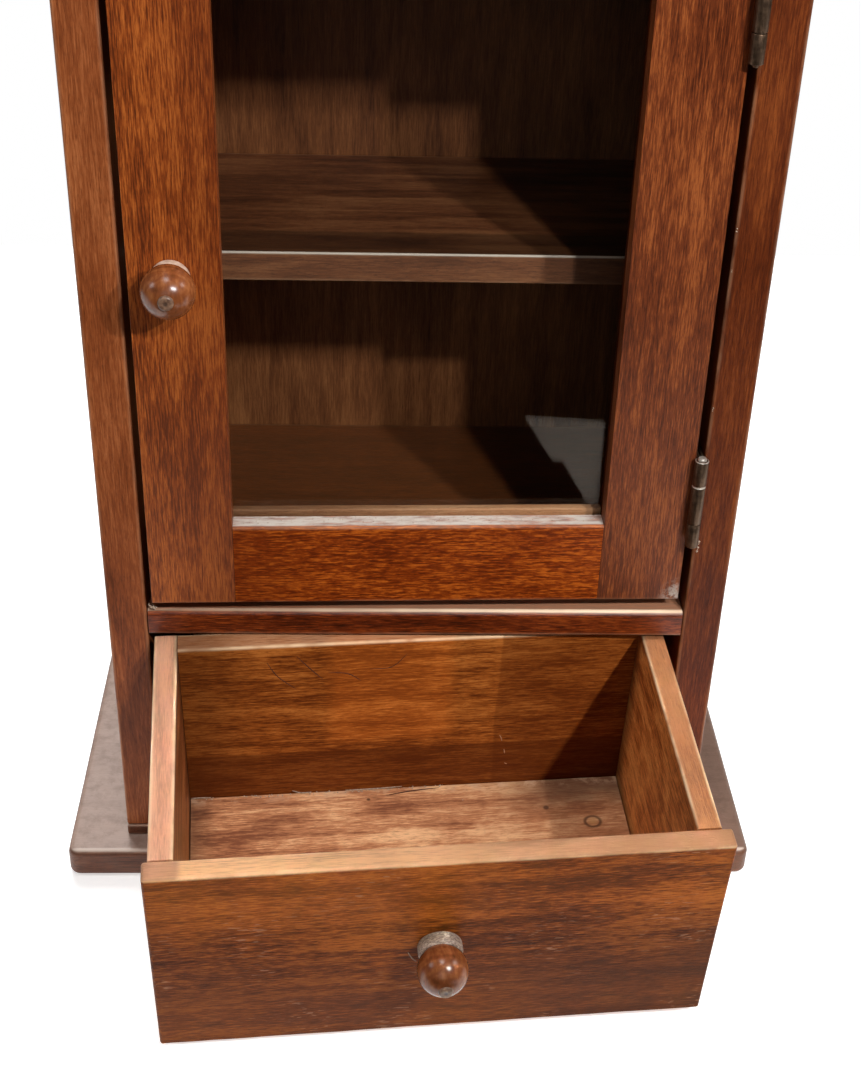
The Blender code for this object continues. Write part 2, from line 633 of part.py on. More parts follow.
# Door catch: a magnet block under the lid and a steel strike behind the left stile
CATCH_X = -DOOR_HALF + STILE_WIDTH / 2
STRIKE_FRONT = DOOR_BACK + FIT_GAP
STRIKE_BACK = STRIKE_FRONT + STRIKE_THICKNESS
STRIKE_TOP = DOOR_TOP - STRIKE_INSET
board(
    "strike_plate", door, (CATCH_X - STRIKE_WIDTH / 2, STRIKE_FRONT, STRIKE_TOP - STRIKE_HEIGHT),
    (CATCH_X + STRIKE_WIDTH / 2, STRIKE_BACK, STRIKE_TOP), STEEL,
)
CATCH_FRONT = STRIKE_BACK + 2 * FIT_GAP
CATCH_TOP = LID_BOTTOM - FIT_GAP
board(
    "magnet_catch", carcase, (CATCH_X - CATCH_WIDTH / 2, CATCH_FRONT, CATCH_TOP - CATCH_HEIGHT),
    (CATCH_X + CATCH_WIDTH / 2, CATCH_FRONT + CATCH_DEPTH, CATCH_TOP), STEEL, SMALL_EDGE, "Y", 1,
)


# Turned knobs: a collar on the wood, a narrow neck, a ball and a small blunt tip
KNOB_BALL_STEPS = 11
KNOB_BORE_RADIUS = KNOB_SCREW_RADIUS + FIT_GAP
KNOB_BORE_DEPTH = KNOB_SCREW_REACH + CUT_SPARE


def knob_profile():
    points = [(0.0, KNOB_BORE_DEPTH), (KNOB_BORE_RADIUS, KNOB_BORE_DEPTH), (KNOB_BORE_RADIUS, 0.0)]
    points.append((KNOB_COLLAR_RADIUS - 0.5 * KNOB_COLLAR_EDGE, 0.0))
    points.append((KNOB_COLLAR_RADIUS, 0.5 * KNOB_COLLAR_EDGE))
    points.append((KNOB_COLLAR_RADIUS, KNOB_COLLAR_LENGTH - KNOB_COLLAR_EDGE))
    points.append((KNOB_COLLAR_RADIUS - KNOB_COLLAR_EDGE, KNOB_COLLAR_LENGTH))
    start = math.asin((KNOB_RADIUS - KNOB_NECK_CUT) / KNOB_RADIUS)
    centre = KNOB_COLLAR_LENGTH + KNOB_NECK_LENGTH + KNOB_RADIUS * math.cos(start)
    finish = math.pi - math.asin(KNOB_TIP_RADIUS / KNOB_RADIUS)
    for k in range(KNOB_BALL_STEPS + 1):
        angle = start + (finish - start) * k / KNOB_BALL_STEPS
        points.append((KNOB_RADIUS * math.sin(angle), centre - KNOB_RADIUS * math.cos(angle)))
    tip = points[-1][1]
    blunt = KNOB_TIP_RADIUS - KNOB_TIP_STEP
    points.append((blunt, tip))
    points.append((blunt, tip + KNOB_TIP_LENGTH - KNOB_TIP_STEP))
    points.append((blunt - 2 * KNOB_TIP_STEP, tip + KNOB_TIP_LENGTH))
    points.append((0.0, tip + KNOB_TIP_LENGTH))
    return points


def add_knob(stem, group, x, z, face, back, wood):
    """A knob on the front of a board, held by one screw from behind."""
    turned(stem + "_knob", group, (x, face - FIT_GAP, z), knob_profile(), (0, -1, 0), 28, KNOB_WOOD)
    bore = drills(
        stem + "_knob_bore", group, [(x, back + CUT_SPARE, z)], (0, -1, 0), KNOB_BORE_RADIUS,
        back - face + 2 * CUT_SPARE,
    )
    boolean(wood, bore, "DIFFERENCE")
    length = back - face + KNOB_SCREW_REACH
    profile = [
        (0.0, -KNOB_SCREW_HEAD_HEIGHT),
        (0.7 * KNOB_SCREW_HEAD_RADIUS, -0.87 * KNOB_SCREW_HEAD_HEIGHT),
        (KNOB_SCREW_HEAD_RADIUS, -0.3 * KNOB_SCREW_HEAD_HEIGHT),
        (KNOB_SCREW_HEAD_RADIUS, 0.0),
        (KNOB_SCREW_RADIUS, 0.0),
        (KNOB_SCREW_RADIUS, length - KNOB_SCREW_POINT),
        (0.0, length),
    ]
    turned(stem + "_knob_screw", group, (x, back + FIT_GAP, z), profile, (0, -1, 0), 16, STEEL)


add_knob(
    "door", door, -DOOR_HALF + DOOR_KNOB_FROM_EDGE, DOOR_BOTTOM + DOOR_KNOB_RISE,
    DOOR_FRONT, DOOR_BACK, stiles["left"],
)

# Drawer box
drawer_front = board(
    "drawer_front", drawer, (FRONT_LEFT, 0, DRAWER_BOTTOM),
    (FRONT_RIGHT, DRAWER_FRONT_THICKNESS, DRAWER_TOP), WARM_WOOD, BOARD_EDGE,
)
board(
    "drawer_left_side", drawer, (BOX_LEFT, BOX_FRONT, DRAWER_BOTTOM),
    (BOX_INNER_LEFT, DRAWER_DEPTH, DRAWER_TOP), DRAWER_WOOD, SMALL_EDGE, "Y",
)
drawer_right_side = board(
    "drawer_right_side", drawer, (BOX_INNER_RIGHT, BOX_FRONT, DRAWER_BOTTOM),
    (BOX_RIGHT, DRAWER_DEPTH, DRAWER_TOP), DRAWER_WOOD, SMALL_EDGE, "Y",
)
PANEL_LEFT = BOX_INNER_LEFT + FIT_GAP
PANEL_RIGHT = BOX_INNER_RIGHT - FIT_GAP
board(
    "drawer_back", drawer, (PANEL_LEFT, BOX_INNER_BACK, DRAWER_BOTTOM),
    (PANEL_RIGHT, DRAWER_DEPTH, DRAWER_TOP), DRAWER_WOOD, SMALL_EDGE, "X",
)
drawer_bottom = board(
    "drawer_bottom", drawer, (PANEL_LEFT, BOX_FRONT, PANEL_BOTTOM),
    (PANEL_RIGHT, BOX_INNER_BACK - FIT_GAP, PANEL_TOP), DRAWER_WOOD,
)
add_knob(
    "drawer", drawer, (FRONT_LEFT + FRONT_RIGHT) / 2, DRAWER_BOTTOM + DRAWER_KNOB_RISE,
    0.0, DRAWER_FRONT_THICKNESS, drawer_front,
)

# Skew nail through the right drawer side into the bottom: it lies on the line the drawer tips about
NAIL_OUT = (PIVOT_FROM_SIDE - 2 * FIT_GAP) / SWING_AXIS.x
NAIL_IN = (DRAWER_SIDE_THICKNESS - PIVOT_FROM_SIDE + FIT_GAP + NAIL_BITE) / SWING_AXIS.x
NAIL_LENGTH = NAIL_IN + NAIL_OUT
nail_tip = PIVOT - SWING_AXIS * NAIL_IN
nail_bore = drills(
    "nail_bore", drawer, [nail_tip - SWING_AXIS * FIT_GAP], SWING_AXIS, NAIL_RADIUS + FIT_GAP,
    NAIL_LENGTH + 3 * CUT_SPARE, 12,
)
boolean(drawer_right_side, nail_bore, "DIFFERENCE")
boolean(drawer_bottom, nail_bore, "DIFFERENCE")
nail_profile = [
    (0.0, 0.0),
    (0.5 * NAIL_RADIUS, 0.4 * NAIL_POINT),
    (NAIL_RADIUS, NAIL_POINT),
    (NAIL_RADIUS, NAIL_LENGTH),
    (0.0, NAIL_LENGTH),
]
carrier = Group(None, PIVOT - drawer_axis.location)
turned("pivot_nail", carrier, nail_tip, nail_profile, SWING_AXIS, 12, STEEL)

# Flat-headed screws, sunk in the back panel, that hold it to the sides
BACK_SCREW_X = HALF - SIDE_THICKNESS / 2
BACK_SCREW_SEAT = CARCASE_DEPTH - FIT_GAP - BACK_SCREW_HEAD_HEIGHT
BACK_SCREW_MOUTH = CARCASE_DEPTH + CUT_SPARE
BACK_SCREW_ROWS = {
    "low": SIDE_BOTTOM + BACK_SCREW_INSET,
    "middle": (SIDE_BOTTOM + CARCASE_TOP) / 2,
    "high": CARCASE_TOP - BACK_SCREW_INSET,
}
back_screw_profile = [
    (0.0, -BACK_SCREW_HEAD_HEIGHT),
    (BACK_SCREW_HEAD_RADIUS, -BACK_SCREW_HEAD_HEIGHT),
    (BACK_SCREW_HEAD_RADIUS, 0.0),
    (SCREW_SHANK_RADIUS, 0.0),
    (SCREW_SHANK_RADIUS, BACK_SCREW_LENGTH - BACK_SCREW_POINT),
    (0.0, BACK_SCREW_LENGTH),
]
for side, sign in (("left", -1), ("right", 1)):
    x = sign * BACK_SCREW_X
    points = [(x, BACK_SCREW_MOUTH, z) for z in BACK_SCREW_ROWS.values()]
    bores = drills(
        side + "_back_bores", carcase, points, (0, -1, 0), SCREW_SHANK_RADIUS + FIT_GAP,
        BACK_SCREW_MOUTH - BACK_SCREW_SEAT + BACK_SCREW_LENGTH + 2 * FIT_GAP, 12,
    )
    boolean(back_panel, bores, "DIFFERENCE")
    boolean(sides[side], bores, "DIFFERENCE")
    recesses = drills(
        side + "_back_recesses", carcase, points, (0, -1, 0), BACK_SCREW_HEAD_RADIUS + FIT_GAP,
        BACK_SCREW_MOUTH - BACK_SCREW_SEAT + FIT_GAP, 16,
    )
    boolean(back_panel, recesses, "DIFFERENCE")
    for row, z in BACK_SCREW_ROWS.items():
        name = side + "_" + row + "_back_screw"
        turned(name, carcase, (x, BACK_SCREW_SEAT, z), back_screw_profile, (0, -1, 0), 16, STEEL)
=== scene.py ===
"""Looks of the tabletop display cabinet: worn stained wood, glass, bronze hinges and dust."""

import json
import math
import random

import bmesh
import bpy
from mathutils import Matrix, Vector, noise

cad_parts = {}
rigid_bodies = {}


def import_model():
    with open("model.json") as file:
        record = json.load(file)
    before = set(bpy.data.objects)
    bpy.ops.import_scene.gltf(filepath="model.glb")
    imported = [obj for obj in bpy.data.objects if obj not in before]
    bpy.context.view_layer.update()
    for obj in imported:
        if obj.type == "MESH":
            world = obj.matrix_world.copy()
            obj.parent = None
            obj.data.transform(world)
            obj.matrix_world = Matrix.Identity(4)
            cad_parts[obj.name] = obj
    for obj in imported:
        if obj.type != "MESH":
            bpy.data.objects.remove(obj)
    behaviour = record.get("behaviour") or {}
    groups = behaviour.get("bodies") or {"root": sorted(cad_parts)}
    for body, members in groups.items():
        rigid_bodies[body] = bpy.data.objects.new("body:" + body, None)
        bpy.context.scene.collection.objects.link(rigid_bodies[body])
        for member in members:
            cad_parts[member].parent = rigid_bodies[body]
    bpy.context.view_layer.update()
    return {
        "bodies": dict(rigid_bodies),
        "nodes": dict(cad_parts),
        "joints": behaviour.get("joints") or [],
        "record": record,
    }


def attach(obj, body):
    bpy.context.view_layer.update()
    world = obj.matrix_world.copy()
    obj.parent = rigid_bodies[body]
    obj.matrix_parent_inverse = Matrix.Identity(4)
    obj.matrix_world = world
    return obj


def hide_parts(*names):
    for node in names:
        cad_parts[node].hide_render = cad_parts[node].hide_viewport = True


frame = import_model()
nodes = frame["nodes"]
joints = {joint["name"]: joint for joint in frame["joints"]}
coupling = frame["record"]["behaviour"]["couplings"][0]

# Frames of the three moving groups: each takes shut coordinates to the photographed pose
AJAR = -math.radians(joints["door_hinge"]["range_deg"][0])
TRAVEL = -joints["drawer_slide"]["range_m"][0]
DROOP = coupling["ratio"] * TRAVEL
HINGE_AT = Vector(joints["door_hinge"]["pos_m"])
PIVOT_AT = Vector(joints["drawer_droop"]["pos_m"])
PIVOT_AXIS = Vector(joints["drawer_droop"]["axis"])
FRAMES = {
    "carcase": Matrix.Identity(4),
    "door": Matrix.Translation(HINGE_AT) @ Matrix.Rotation(AJAR, 4, "Z") @ Matrix.Translation(-HINGE_AT),
    "drawer": Matrix.Translation(PIVOT_AT)
    @ Matrix.Rotation(DROOP, 4, PIVOT_AXIS)
    @ Matrix.Translation(-(PIVOT_AT + Vector((0.0, TRAVEL, 0.0)))),
}


def local_box(node, body):
    """Corners of a CAD node in the shut coordinates of its body."""
    back = FRAMES[body].inverted()
    points = [back @ vertex.co for vertex in nodes[node].data.vertices]
    low = Vector([min(point[k] for point in points) for k in range(3)])
    high = Vector([max(point[k] for point in points) for k in range(3)])
    return low, high


def tone(red, green, blue):
    """Linear colour from 8-bit display values."""
    values = []
    for part in (red, green, blue):
        share = part / 255.0
        values.append(share / 12.92 if share <= 0.04045 else ((share + 0.055) / 1.055) ** 2.4)
    return (*values, 1.0)


# Shader building
class Shader:
    """One material and the few node moves that it needs."""

    def __init__(self, name):
        self.material = bpy.data.materials.new(name)
        self.material.use_nodes = True
        self.tree = self.material.node_tree
        self.surface = self.tree.nodes["Principled BSDF"]

    def feed(self, socket, value):
        if isinstance(value, bpy.types.NodeSocket):
            self.tree.links.new(value, socket)
        else:
            socket.default_value = value

    def add(self, kind, **settings):
        node = self.tree.nodes.new("ShaderNode" + kind)
        for key, value in settings.items():
            setattr(node, key, value)
        return node

    def math(self, operation, first, second=0.0, clamp=False):
        node = self.add("Math", operation=operation, use_clamp=clamp)
        self.feed(node.inputs[0], first)
        self.feed(node.inputs[1], second)
        return node.outputs[0]

    def vector(self, operation, first, second):
        node = self.add("VectorMath", operation=operation)
        self.feed(node.inputs[0], first)
        self.feed(node.inputs[1], second)
        return node.outputs["Value" if operation in ("LENGTH", "DISTANCE") else "Vector"]

    def noise(self, vector, scale, detail=2.0, roughness=0.5, distortion=0.0):
        node = self.add("TexNoise")
        self.feed(node.inputs["Vector"], vector)
        node.inputs["Scale"].default_value = scale
        node.inputs["Detail"].default_value = detail
        node.inputs["Roughness"].default_value = roughness
        node.inputs["Distortion"].default_value = distortion
        return node.outputs[0]

    def fade(self, value, start, end, low=0.0, high=1.0):
        node = self.add("MapRange", interpolation_type="SMOOTHSTEP")
        self.feed(node.inputs["Value"], value)
        for key, number in zip(("From Min", "From Max", "To Min", "To Max"), (start, end, low, high)):
            node.inputs[key].default_value = number
        return node.outputs[0]

    def blend(self, share, first, second, kind="MIX"):
        node = self.add("Mix", data_type="RGBA", blend_type=kind)
        self.feed(node.inputs[0], share)
        self.feed(node.inputs[6], first)
        self.feed(node.inputs[7], second)
        return node.outputs[2]

    def ramp(self, value, stops):
        node = self.add("ValToRGB")
        self.feed(node.inputs[0], value)
        points = node.color_ramp.elements
        while len(points) < len(stops):
            points.new(0.5)
        for point, (place, colour) in zip(points, stops):
            point.position = place
            point.color = colour
        return node.outputs[0]

    def bump(self, height, distance, strength):
        node = self.add("Bump")
        self.feed(node.inputs["Height"], height)
        node.inputs["Distance"].default_value = distance
        node.inputs["Strength"].default_value = strength
        self.feed(self.surface.inputs["Normal"], node.outputs[0])

    def places(self):
        """Object coordinates, and their three parts."""
        coordinates = self.add("TexCoord").outputs["Object"]
        split = self.add("SeparateXYZ")
        self.feed(split.inputs[0], coordinates)
        return coordinates, split.outputs

    def set(self, **values):
        for key, value in values.items():
            self.feed(self.surface.inputs[key.replace("_", " ")], value)

    def show_mix(self, share, first, second):
        """Show a blend of two surfaces."""
        mixed = self.add("MixShader")
        self.feed(mixed.inputs[0], share)
        self.feed(mixed.inputs[1], first.outputs[0])
        self.feed(mixed.inputs[2], second.outputs[0])
        self.feed(self.tree.nodes["Material Output"].inputs["Surface"], mixed.outputs[0])


# Palettes: dark, middle, light, and the dark of the pores
AMBER = (tone(80, 33, 10), tone(129, 59, 19), tone(171, 92, 36), tone(41, 15, 5))
REDDISH = (tone(64, 25, 8), tone(102, 46, 18), tone(144, 77, 35), tone(35, 12, 5))
LEFT_RED = (tone(88, 41, 18), tone(132, 68, 33), tone(172, 102, 58), tone(46, 20, 9))
RIGHT_RED = (tone(53, 19, 6), tone(88, 37, 12), tone(126, 63, 24), tone(28, 9, 3))
WARM = (tone(88, 30, 5), tone(130, 52, 10), tone(186, 93, 26), tone(52, 16, 4))
FRONT = (tone(64, 26, 6), tone(117, 55, 13), tone(172, 95, 32), tone(34, 13, 3))
BOX = (tone(97, 49, 20), tone(151, 88, 43), tone(192, 127, 72), tone(55, 25, 10))
# Brighter copy of the drawer-box wood for the right side: painted light on its lit inner face
BOX_PAINTED_LIT = (tone(148, 79, 31), tone(222, 136, 65), tone(254, 182, 101), tone(84, 39, 14))
LINER = (tone(102, 46, 12), tone(154, 82, 28), tone(194, 116, 50), tone(66, 27, 8))
DIVIDER = (tone(54, 17, 3), tone(100, 37, 9), tone(148, 68, 23), tone(28, 9, 3))
BOARD = (tone(128, 74, 47), tone(192, 128, 86), tone(242, 189, 139), tone(80, 43, 23))
INNER = (tone(78, 40, 19), tone(122, 71, 38), tone(158, 100, 58), tone(43, 21, 10))
LEDGE = (tone(74, 40, 24), tone(115, 65, 39), tone(148, 93, 58), tone(41, 22, 13))
GREYISH = (tone(64, 34, 20), tone(103, 59, 38), tone(133, 84, 58), tone(36, 19, 12))
# Very pale palette of the bead below the glass
BEAD_PALE = (tone(186, 120, 80), tone(228, 162, 114), tone(248, 192, 144), tone(134, 80, 50))
WORN = tone(192, 142, 106)
PALE = tone(246, 190, 142)
RUBBED = tone(250, 212, 168)
PINKISH = tone(230, 172, 140)
BROWNISH = tone(186, 128, 93)
# Pale grey-brown cap for upward faces: partly dust, partly painted sheen
DUST_AND_SHEEN = tone(186, 162, 148)
DUST = tone(198, 188, 178)


class Wood:
    """How one kind of board looks."""

    def __init__(
        self, palette, streak=0.45, broad=0.4, figure=0.0, pores=0.5, wear=0.5, gloss=0.38,
        shine=0.3, top=0.0, cap=WORN, scuff=0.65, depth=9.0, staves=None, butt="", swirl=0.0,
        rim=WORN,
    ):
        self.palette = palette
        self.streak = streak
        self.broad = broad
        self.figure = figure
        self.pores = pores
        self.wear = wear
        self.gloss = gloss
        self.shine = shine
        self.top = top
        self.cap = cap
        self.scuff = scuff
        self.depth = depth
        self.staves = staves
        self.butt = butt
        self.swirl = swirl
        self.rim = rim


def grain_fields(shader, shifted, grain):
    """Noise fields drawn out along the grain: fine lines, bands, flecks, patches and pores."""

    def along(share):
        scale = [share if letter == grain else 1.0 for letter in "XYZ"]
        return shader.vector("MULTIPLY", shifted, scale)

    lines = shader.noise(along(0.06), 1700.0, 3.0, 0.65, 0.2)
    bands = shader.noise(along(0.10), 120.0, 3.0, 0.5, 0.6)
    flecks = shader.noise(along(0.2), 950.0, 3.0, 0.62, 0.6)
    patches = shader.noise(shifted, 14.0, 2.0)
    pores = shader.fade(shader.noise(along(0.2), 2100.0, 1.0, 0.5), 0.56, 0.7)
    return lines, bands, flecks, patches, pores


def wood_shader(name, look, grain, half, seed, marks=None):
    """Stained wood whose grain runs along one axis of a board of the given half sizes."""
    shader = Shader(name)
    coordinates, parts = shader.places()
    shifted = shader.vector("ADD", coordinates, (seed * 0.37, seed * 0.61, seed * 0.83))
    lines, bands, flecks, patches, pores = grain_fields(shader, shifted, grain)
    value = 0.5
    whirls = shader.noise(shader.vector("MULTIPLY", shifted, (0.35, 1.0, 1.0)), 42.0, 3.0, 0.5, 1.3)
    curls = shader.math("MULTIPLY", shader.math("SINE", shader.math("MULTIPLY", whirls, 55.0)), 0.5)
    curls = shader.math("ADD", curls, 0.5)
    fields = (
        (lines, look.streak), (bands, look.broad), (flecks, look.figure), (patches, 0.25),
        (whirls, look.swirl), (curls, 0.05 * look.swirl),
    )
    for field, amount in fields:
        if amount > 0.0:
            part = shader.math("MULTIPLY", shader.math("SUBTRACT", field, 0.5), amount * 1.6)
            value = shader.math("ADD", value, part)
    if look.staves:
        value = shader.math("ADD", value, stave_tone(shader, coordinates, look.staves))
    dark, middle, light, deep = look.palette
    colour = shader.ramp(value, ((0.26, dark), (0.5, middle), (0.74, light)))
    colour = shader.blend(shader.math("MULTIPLY", pores, look.pores), colour, deep)

    near = []
    for letter, part, size in zip("XYZ", parts, half):
        reach = size + 1.0 if letter in look.butt else size
        inset = shader.math("SUBTRACT", reach, shader.math("ABSOLUTE", part))
        near.append(shader.fade(inset, 0.0004, 0.002, 1.0, 0.0))
    pairs = [shader.math("MULTIPLY", near[a], near[b]) for a, b in ((0, 1), (1, 2), (0, 2))]
    edge = shader.math("MAXIMUM", shader.math("MAXIMUM", pairs[0], pairs[1]), pairs[2])
    rubbed = shader.fade(shader.noise(shifted, 42.0, 3.0, 0.6), 0.28, 0.6)
    worn = shader.math("MULTIPLY", shader.math("MULTIPLY", edge, rubbed), look.wear)
    if look.top > 0.0:
        upper = shader.fade(shader.math("SUBTRACT", half[2], parts[2]), 0.0002, 0.0016, 1.0, 0.0)
        if look.depth < 1.0:
            inset = shader.math("ADD", parts[1], half[1])
            upper = shader.math("MULTIPLY", upper, shader.fade(inset, 0.4 * look.depth, look.depth, 1.0, 0.0))
        scuffed = shader.fade(shader.math("ADD", lines, bands), 0.75, 1.15, 1.0 - look.scuff, 1.0)
        colour = shader.blend(shader.math("MULTIPLY", shader.math("MULTIPLY", upper, scuffed), look.top), colour, look.cap)
    colour = shader.blend(worn, colour, look.rim)
    if marks is not None:
        colour = marks(shader, colour, coordinates, parts, half)

    rough = shader.math("ADD", look.gloss, shader.math("MULTIPLY", shader.math("SUBTRACT", patches, 0.5), 0.25))
    rough = shader.math("ADD", rough, shader.math("MULTIPLY", worn, 0.2), True)
    shader.set(Base_Color=colour, Roughness=rough)
    shader.surface.inputs["Specular IOR Level"].default_value = look.shine
    height = shader.math("SUBTRACT", shader.math("MULTIPLY", lines, 0.5), shader.math("MULTIPLY", pores, 0.6))
    shader.bump(height, 0.00012, 0.5)
    return shader


def stave_tone(shader, coordinates, staves):
    """Lighter and darker staves of a board that is glued up from strips."""
    across, along, length, width, start = staves
    split = shader.add("SeparateXYZ")
    shader.feed(split.inputs[0], shader.vector("SUBTRACT", coordinates, start))
    turned = shader.add("CombineXYZ")
    shader.feed(turned.inputs[0], split.outputs["XYZ".index(along)])
    shader.feed(turned.inputs[1], split.outputs["XYZ".index(across)])
    bricks = shader.add("TexBrick")
    shader.feed(bricks.inputs["Vector"], turned.outputs[0])
    bricks.inputs["Scale"].default_value = 1.0
    bricks.inputs["Brick Width"].default_value = length
    bricks.inputs["Row Height"].default_value = width
    bricks.inputs["Mortar Size"].default_value = 0.0001
    bricks.inputs["Mortar Smooth"].default_value = 0.5
    bricks.inputs["Color1"].default_value = (0.0, 0.0, 0.0, 1.0)
    bricks.inputs["Color2"].default_value = (1.0, 1.0, 1.0, 1.0)
    bricks.inputs["Mortar"].default_value = (0.2, 0.2, 0.2, 1.0)
    return shader.math("MULTIPLY", shader.math("SUBTRACT", bricks.outputs["Color"], 0.5), 0.22)


# Board meshes
def slice_mesh(form, half, spacing):
    """Cut a block into short lengths so that its edges can be uneven."""
    for axis in range(3):
        count = int(2 * half[axis] / spacing[axis])
        normal = Vector([1.0 if k == axis else 0.0 for k in range(3)])
        for k in range(1, count):
            place = normal * (-half[axis] + 2 * half[axis] * k / count)
            bmesh.ops.bisect_plane(
                form, geom=form.verts[:] + form.edges[:] + form.faces[:], dist=1e-7, plane_co=place, plane_no=normal,
            )


def weather(form, half, radius, amount, seed):
    """Rub the edges down a little and unevenly, and let the faces wave very slightly."""
    form.normal_update()
    shift = Vector((seed * 1.7, seed * 2.3, seed * 0.9))
    for vertex in form.verts:
        close = sum(1 for k in range(3) if half[k] - abs(vertex.co[k]) < radius * 0.8)
        slow = noise.noise((vertex.co + shift) * 18.0)
        if close >= 2:
            fine = noise.noise((vertex.co + shift) * 90.0)
            vertex.co -= vertex.normal * amount * max(0.0, 0.35 + 0.4 * slow + 0.5 * fine)
        else:
            vertex.co -= vertex.normal * 0.00004 * (1.0 + slow)


def bevel(form, edges, radius, steps):
    bmesh.ops.bevel(
        form, geom=edges, offset=radius, offset_type="OFFSET", segments=steps, profile=0.5,
        affect="EDGES", clamp_overlap=True,
    )


def make_object(name, form, place, material):
    mesh = bpy.data.meshes.new(name)
    bmesh.ops.recalc_face_normals(form, faces=form.faces)
    form.to_mesh(mesh)
    form.free()
    mesh.shade_smooth()
    mesh.materials.append(material)
    piece = bpy.data.objects.new(name, mesh)
    bpy.context.scene.collection.objects.link(piece)
    piece.matrix_world = place
    return piece


def settle_normals(piece):
    piece.modifiers.new("even_normals", "WEIGHTED_NORMAL").keep_sharp = True
    piece.data.set_sharp_from_angle(angle=math.radians(50.0))


def carve(piece, form, place):
    """Cut a shape out of a piece for good."""
    mesh = bpy.data.meshes.new("cutter")
    bmesh.ops.recalc_face_normals(form, faces=form.faces)
    form.to_mesh(mesh)
    form.free()
    cutter = bpy.data.objects.new("cutter", mesh)
    bpy.context.scene.collection.objects.link(cutter)
    cutter.matrix_world = place
    step = piece.modifiers.new("cut", "BOOLEAN")
    step.operation = "DIFFERENCE"
    step.solver = "EXACT"
    step.object = cutter
    bpy.context.view_layer.update()
    shaped = piece.evaluated_get(bpy.context.evaluated_depsgraph_get())
    result = bpy.data.meshes.new_from_object(shaped)
    piece.modifiers.remove(step)
    old = piece.data
    piece.data = result
    bpy.data.meshes.remove(old)
    bpy.data.objects.remove(cutter)


def block(half):
    form = bmesh.new()
    bmesh.ops.create_cube(form, size=2.0, matrix=Matrix.Diagonal((*half, 1.0)))
    return form


def axis_edges(form, letters, test=None):
    picked = []
    for edge in form.edges:
        run = edge.verts[1].co - edge.verts[0].co
        letter = "XYZ"[max(range(3), key=lambda k: abs(run[k]))]
        middle = (edge.verts[0].co + edge.verts[1].co) / 2
        if letter in letters and (test is None or test(middle)):
            picked.append(edge)
    return picked


board_count = 0


def board(node, body, grain, look, radius=0.0012, wear=0.00025, shape=None, box=None, marks=None):
    """A worn board that stands for a CAD board of the same size."""
    global board_count
    board_count += 1
    low, high = box or local_box(node, body)
    half = (high - low) / 2
    form = block(half)
    if shape is not None:
        shape(form, half)
    else:
        runs = "".join(letter for letter in "XYZ" if not look.butt or letter in look.butt)
        bevel(form, axis_edges(form, runs), radius, 4)
    lengths = [0.05, 0.05, 0.05]
    lengths["XYZ".index(grain)] = 0.006
    slice_mesh(form, half, lengths)
    weather(form, half, radius, wear, board_count)
    material = wood_shader(node + "_wood", look, grain, half, board_count, marks).material
    piece = make_object(node + "_board", form, FRAMES[body] @ Matrix.Translation((low + high) / 2), material)
    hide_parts(node)
    return piece


def finish_board(piece, body):
    settle_normals(piece)
    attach(piece, body)


# Looks of the boards
LEFT_LOOK = Wood(LEFT_RED, streak=0.45, broad=0.3, figure=0.1, pores=0.2, wear=0.3, shine=0.15)
RIGHT_LOOK = Wood(RIGHT_RED, streak=0.45, broad=0.3, figure=0.1, pores=0.2, wear=0.3, shine=0.15)
LEFT_STILE_LOOK = Wood(AMBER, streak=0.9, broad=0.35, figure=0.2, pores=0.25, wear=0.2, shine=0.2, butt="X")
RIGHT_STILE_LOOK = Wood(REDDISH, streak=0.75, broad=0.4, figure=0.2, pores=0.25, wear=0.2, shine=0.2, butt="X")
RAIL_LOOK = Wood(WARM, streak=0.8, broad=0.3, figure=0.7, pores=0.3, wear=0.35, shine=0.2, butt="X")
FRONT_LOOK = Wood(
    FRONT, streak=1.0, broad=0.6, figure=0.35, pores=0.25, wear=0.8, gloss=0.45, shine=0.04, top=0.85, cap=PALE,
    scuff=0.4, rim=RUBBED, butt="X",
)
EDGE_LOOK = Wood(
    DIVIDER, streak=0.8, broad=0.3, figure=0.3, pores=0.35, wear=0.3, gloss=0.36, shine=0.4, top=0.0, butt="X",
)
BOX_LOOK = Wood(
    BOX, streak=0.7, broad=0.5, figure=0.2, pores=0.3, wear=0.95, gloss=0.5, top=0.75, cap=PINKISH, scuff=0.35, butt="Y",
    rim=RUBBED,
)
# The right side's brighter palette is painted light
RIGHT_BOX_LOOK = Wood(
    BOX_PAINTED_LIT, streak=0.7, broad=0.5, figure=0.3, pores=0.3, wear=0.85, gloss=0.5, top=0.8, cap=BROWNISH, scuff=0.35,
    butt="Y", rim=RUBBED, swirl=0.4,
)
LINER_LOOK = Wood(
    LINER, streak=0.8, broad=0.4, figure=0.35, pores=0.3, wear=0.8, gloss=0.5, shine=0.1, top=0.85, swirl=0.35, butt="X",
    staves=("Z", "X", 0.17, 0.07, (-0.156, 0.0, -0.0856)), rim=RUBBED,
)
BOARD_LOOK = Wood(
    BOARD, streak=0.5, broad=0.5, figure=0.25, pores=0.25, wear=0.2, gloss=0.6, swirl=0.5,
)
INNER_LOOK = Wood(INNER, streak=0.4, broad=0.4, pores=0.2, wear=0.2, gloss=0.5)
SHELF_LOOK = Wood(LEDGE, streak=0.5, broad=0.6, figure=0.2, pores=0.4, wear=0.5, gloss=0.4, butt="X")
TOP_LOOK = Wood(GREYISH, streak=0.9, broad=0.6, pores=0.4, wear=0.35, gloss=0.42, top=0.35, cap=DUST_AND_SHEEN)
# The plinth's pale top cap is partly dust and partly painted sheen
PLINTH_LOOK = Wood(GREYISH, streak=0.6, broad=0.3, pores=0.4, wear=0.35, gloss=0.42, top=0.85, cap=DUST_AND_SHEEN, scuff=0.12)
BEAD_LOOK = Wood(BEAD_PALE, streak=0.4, broad=0.4, pores=0.3, wear=0.2, gloss=0.5, butt="X")


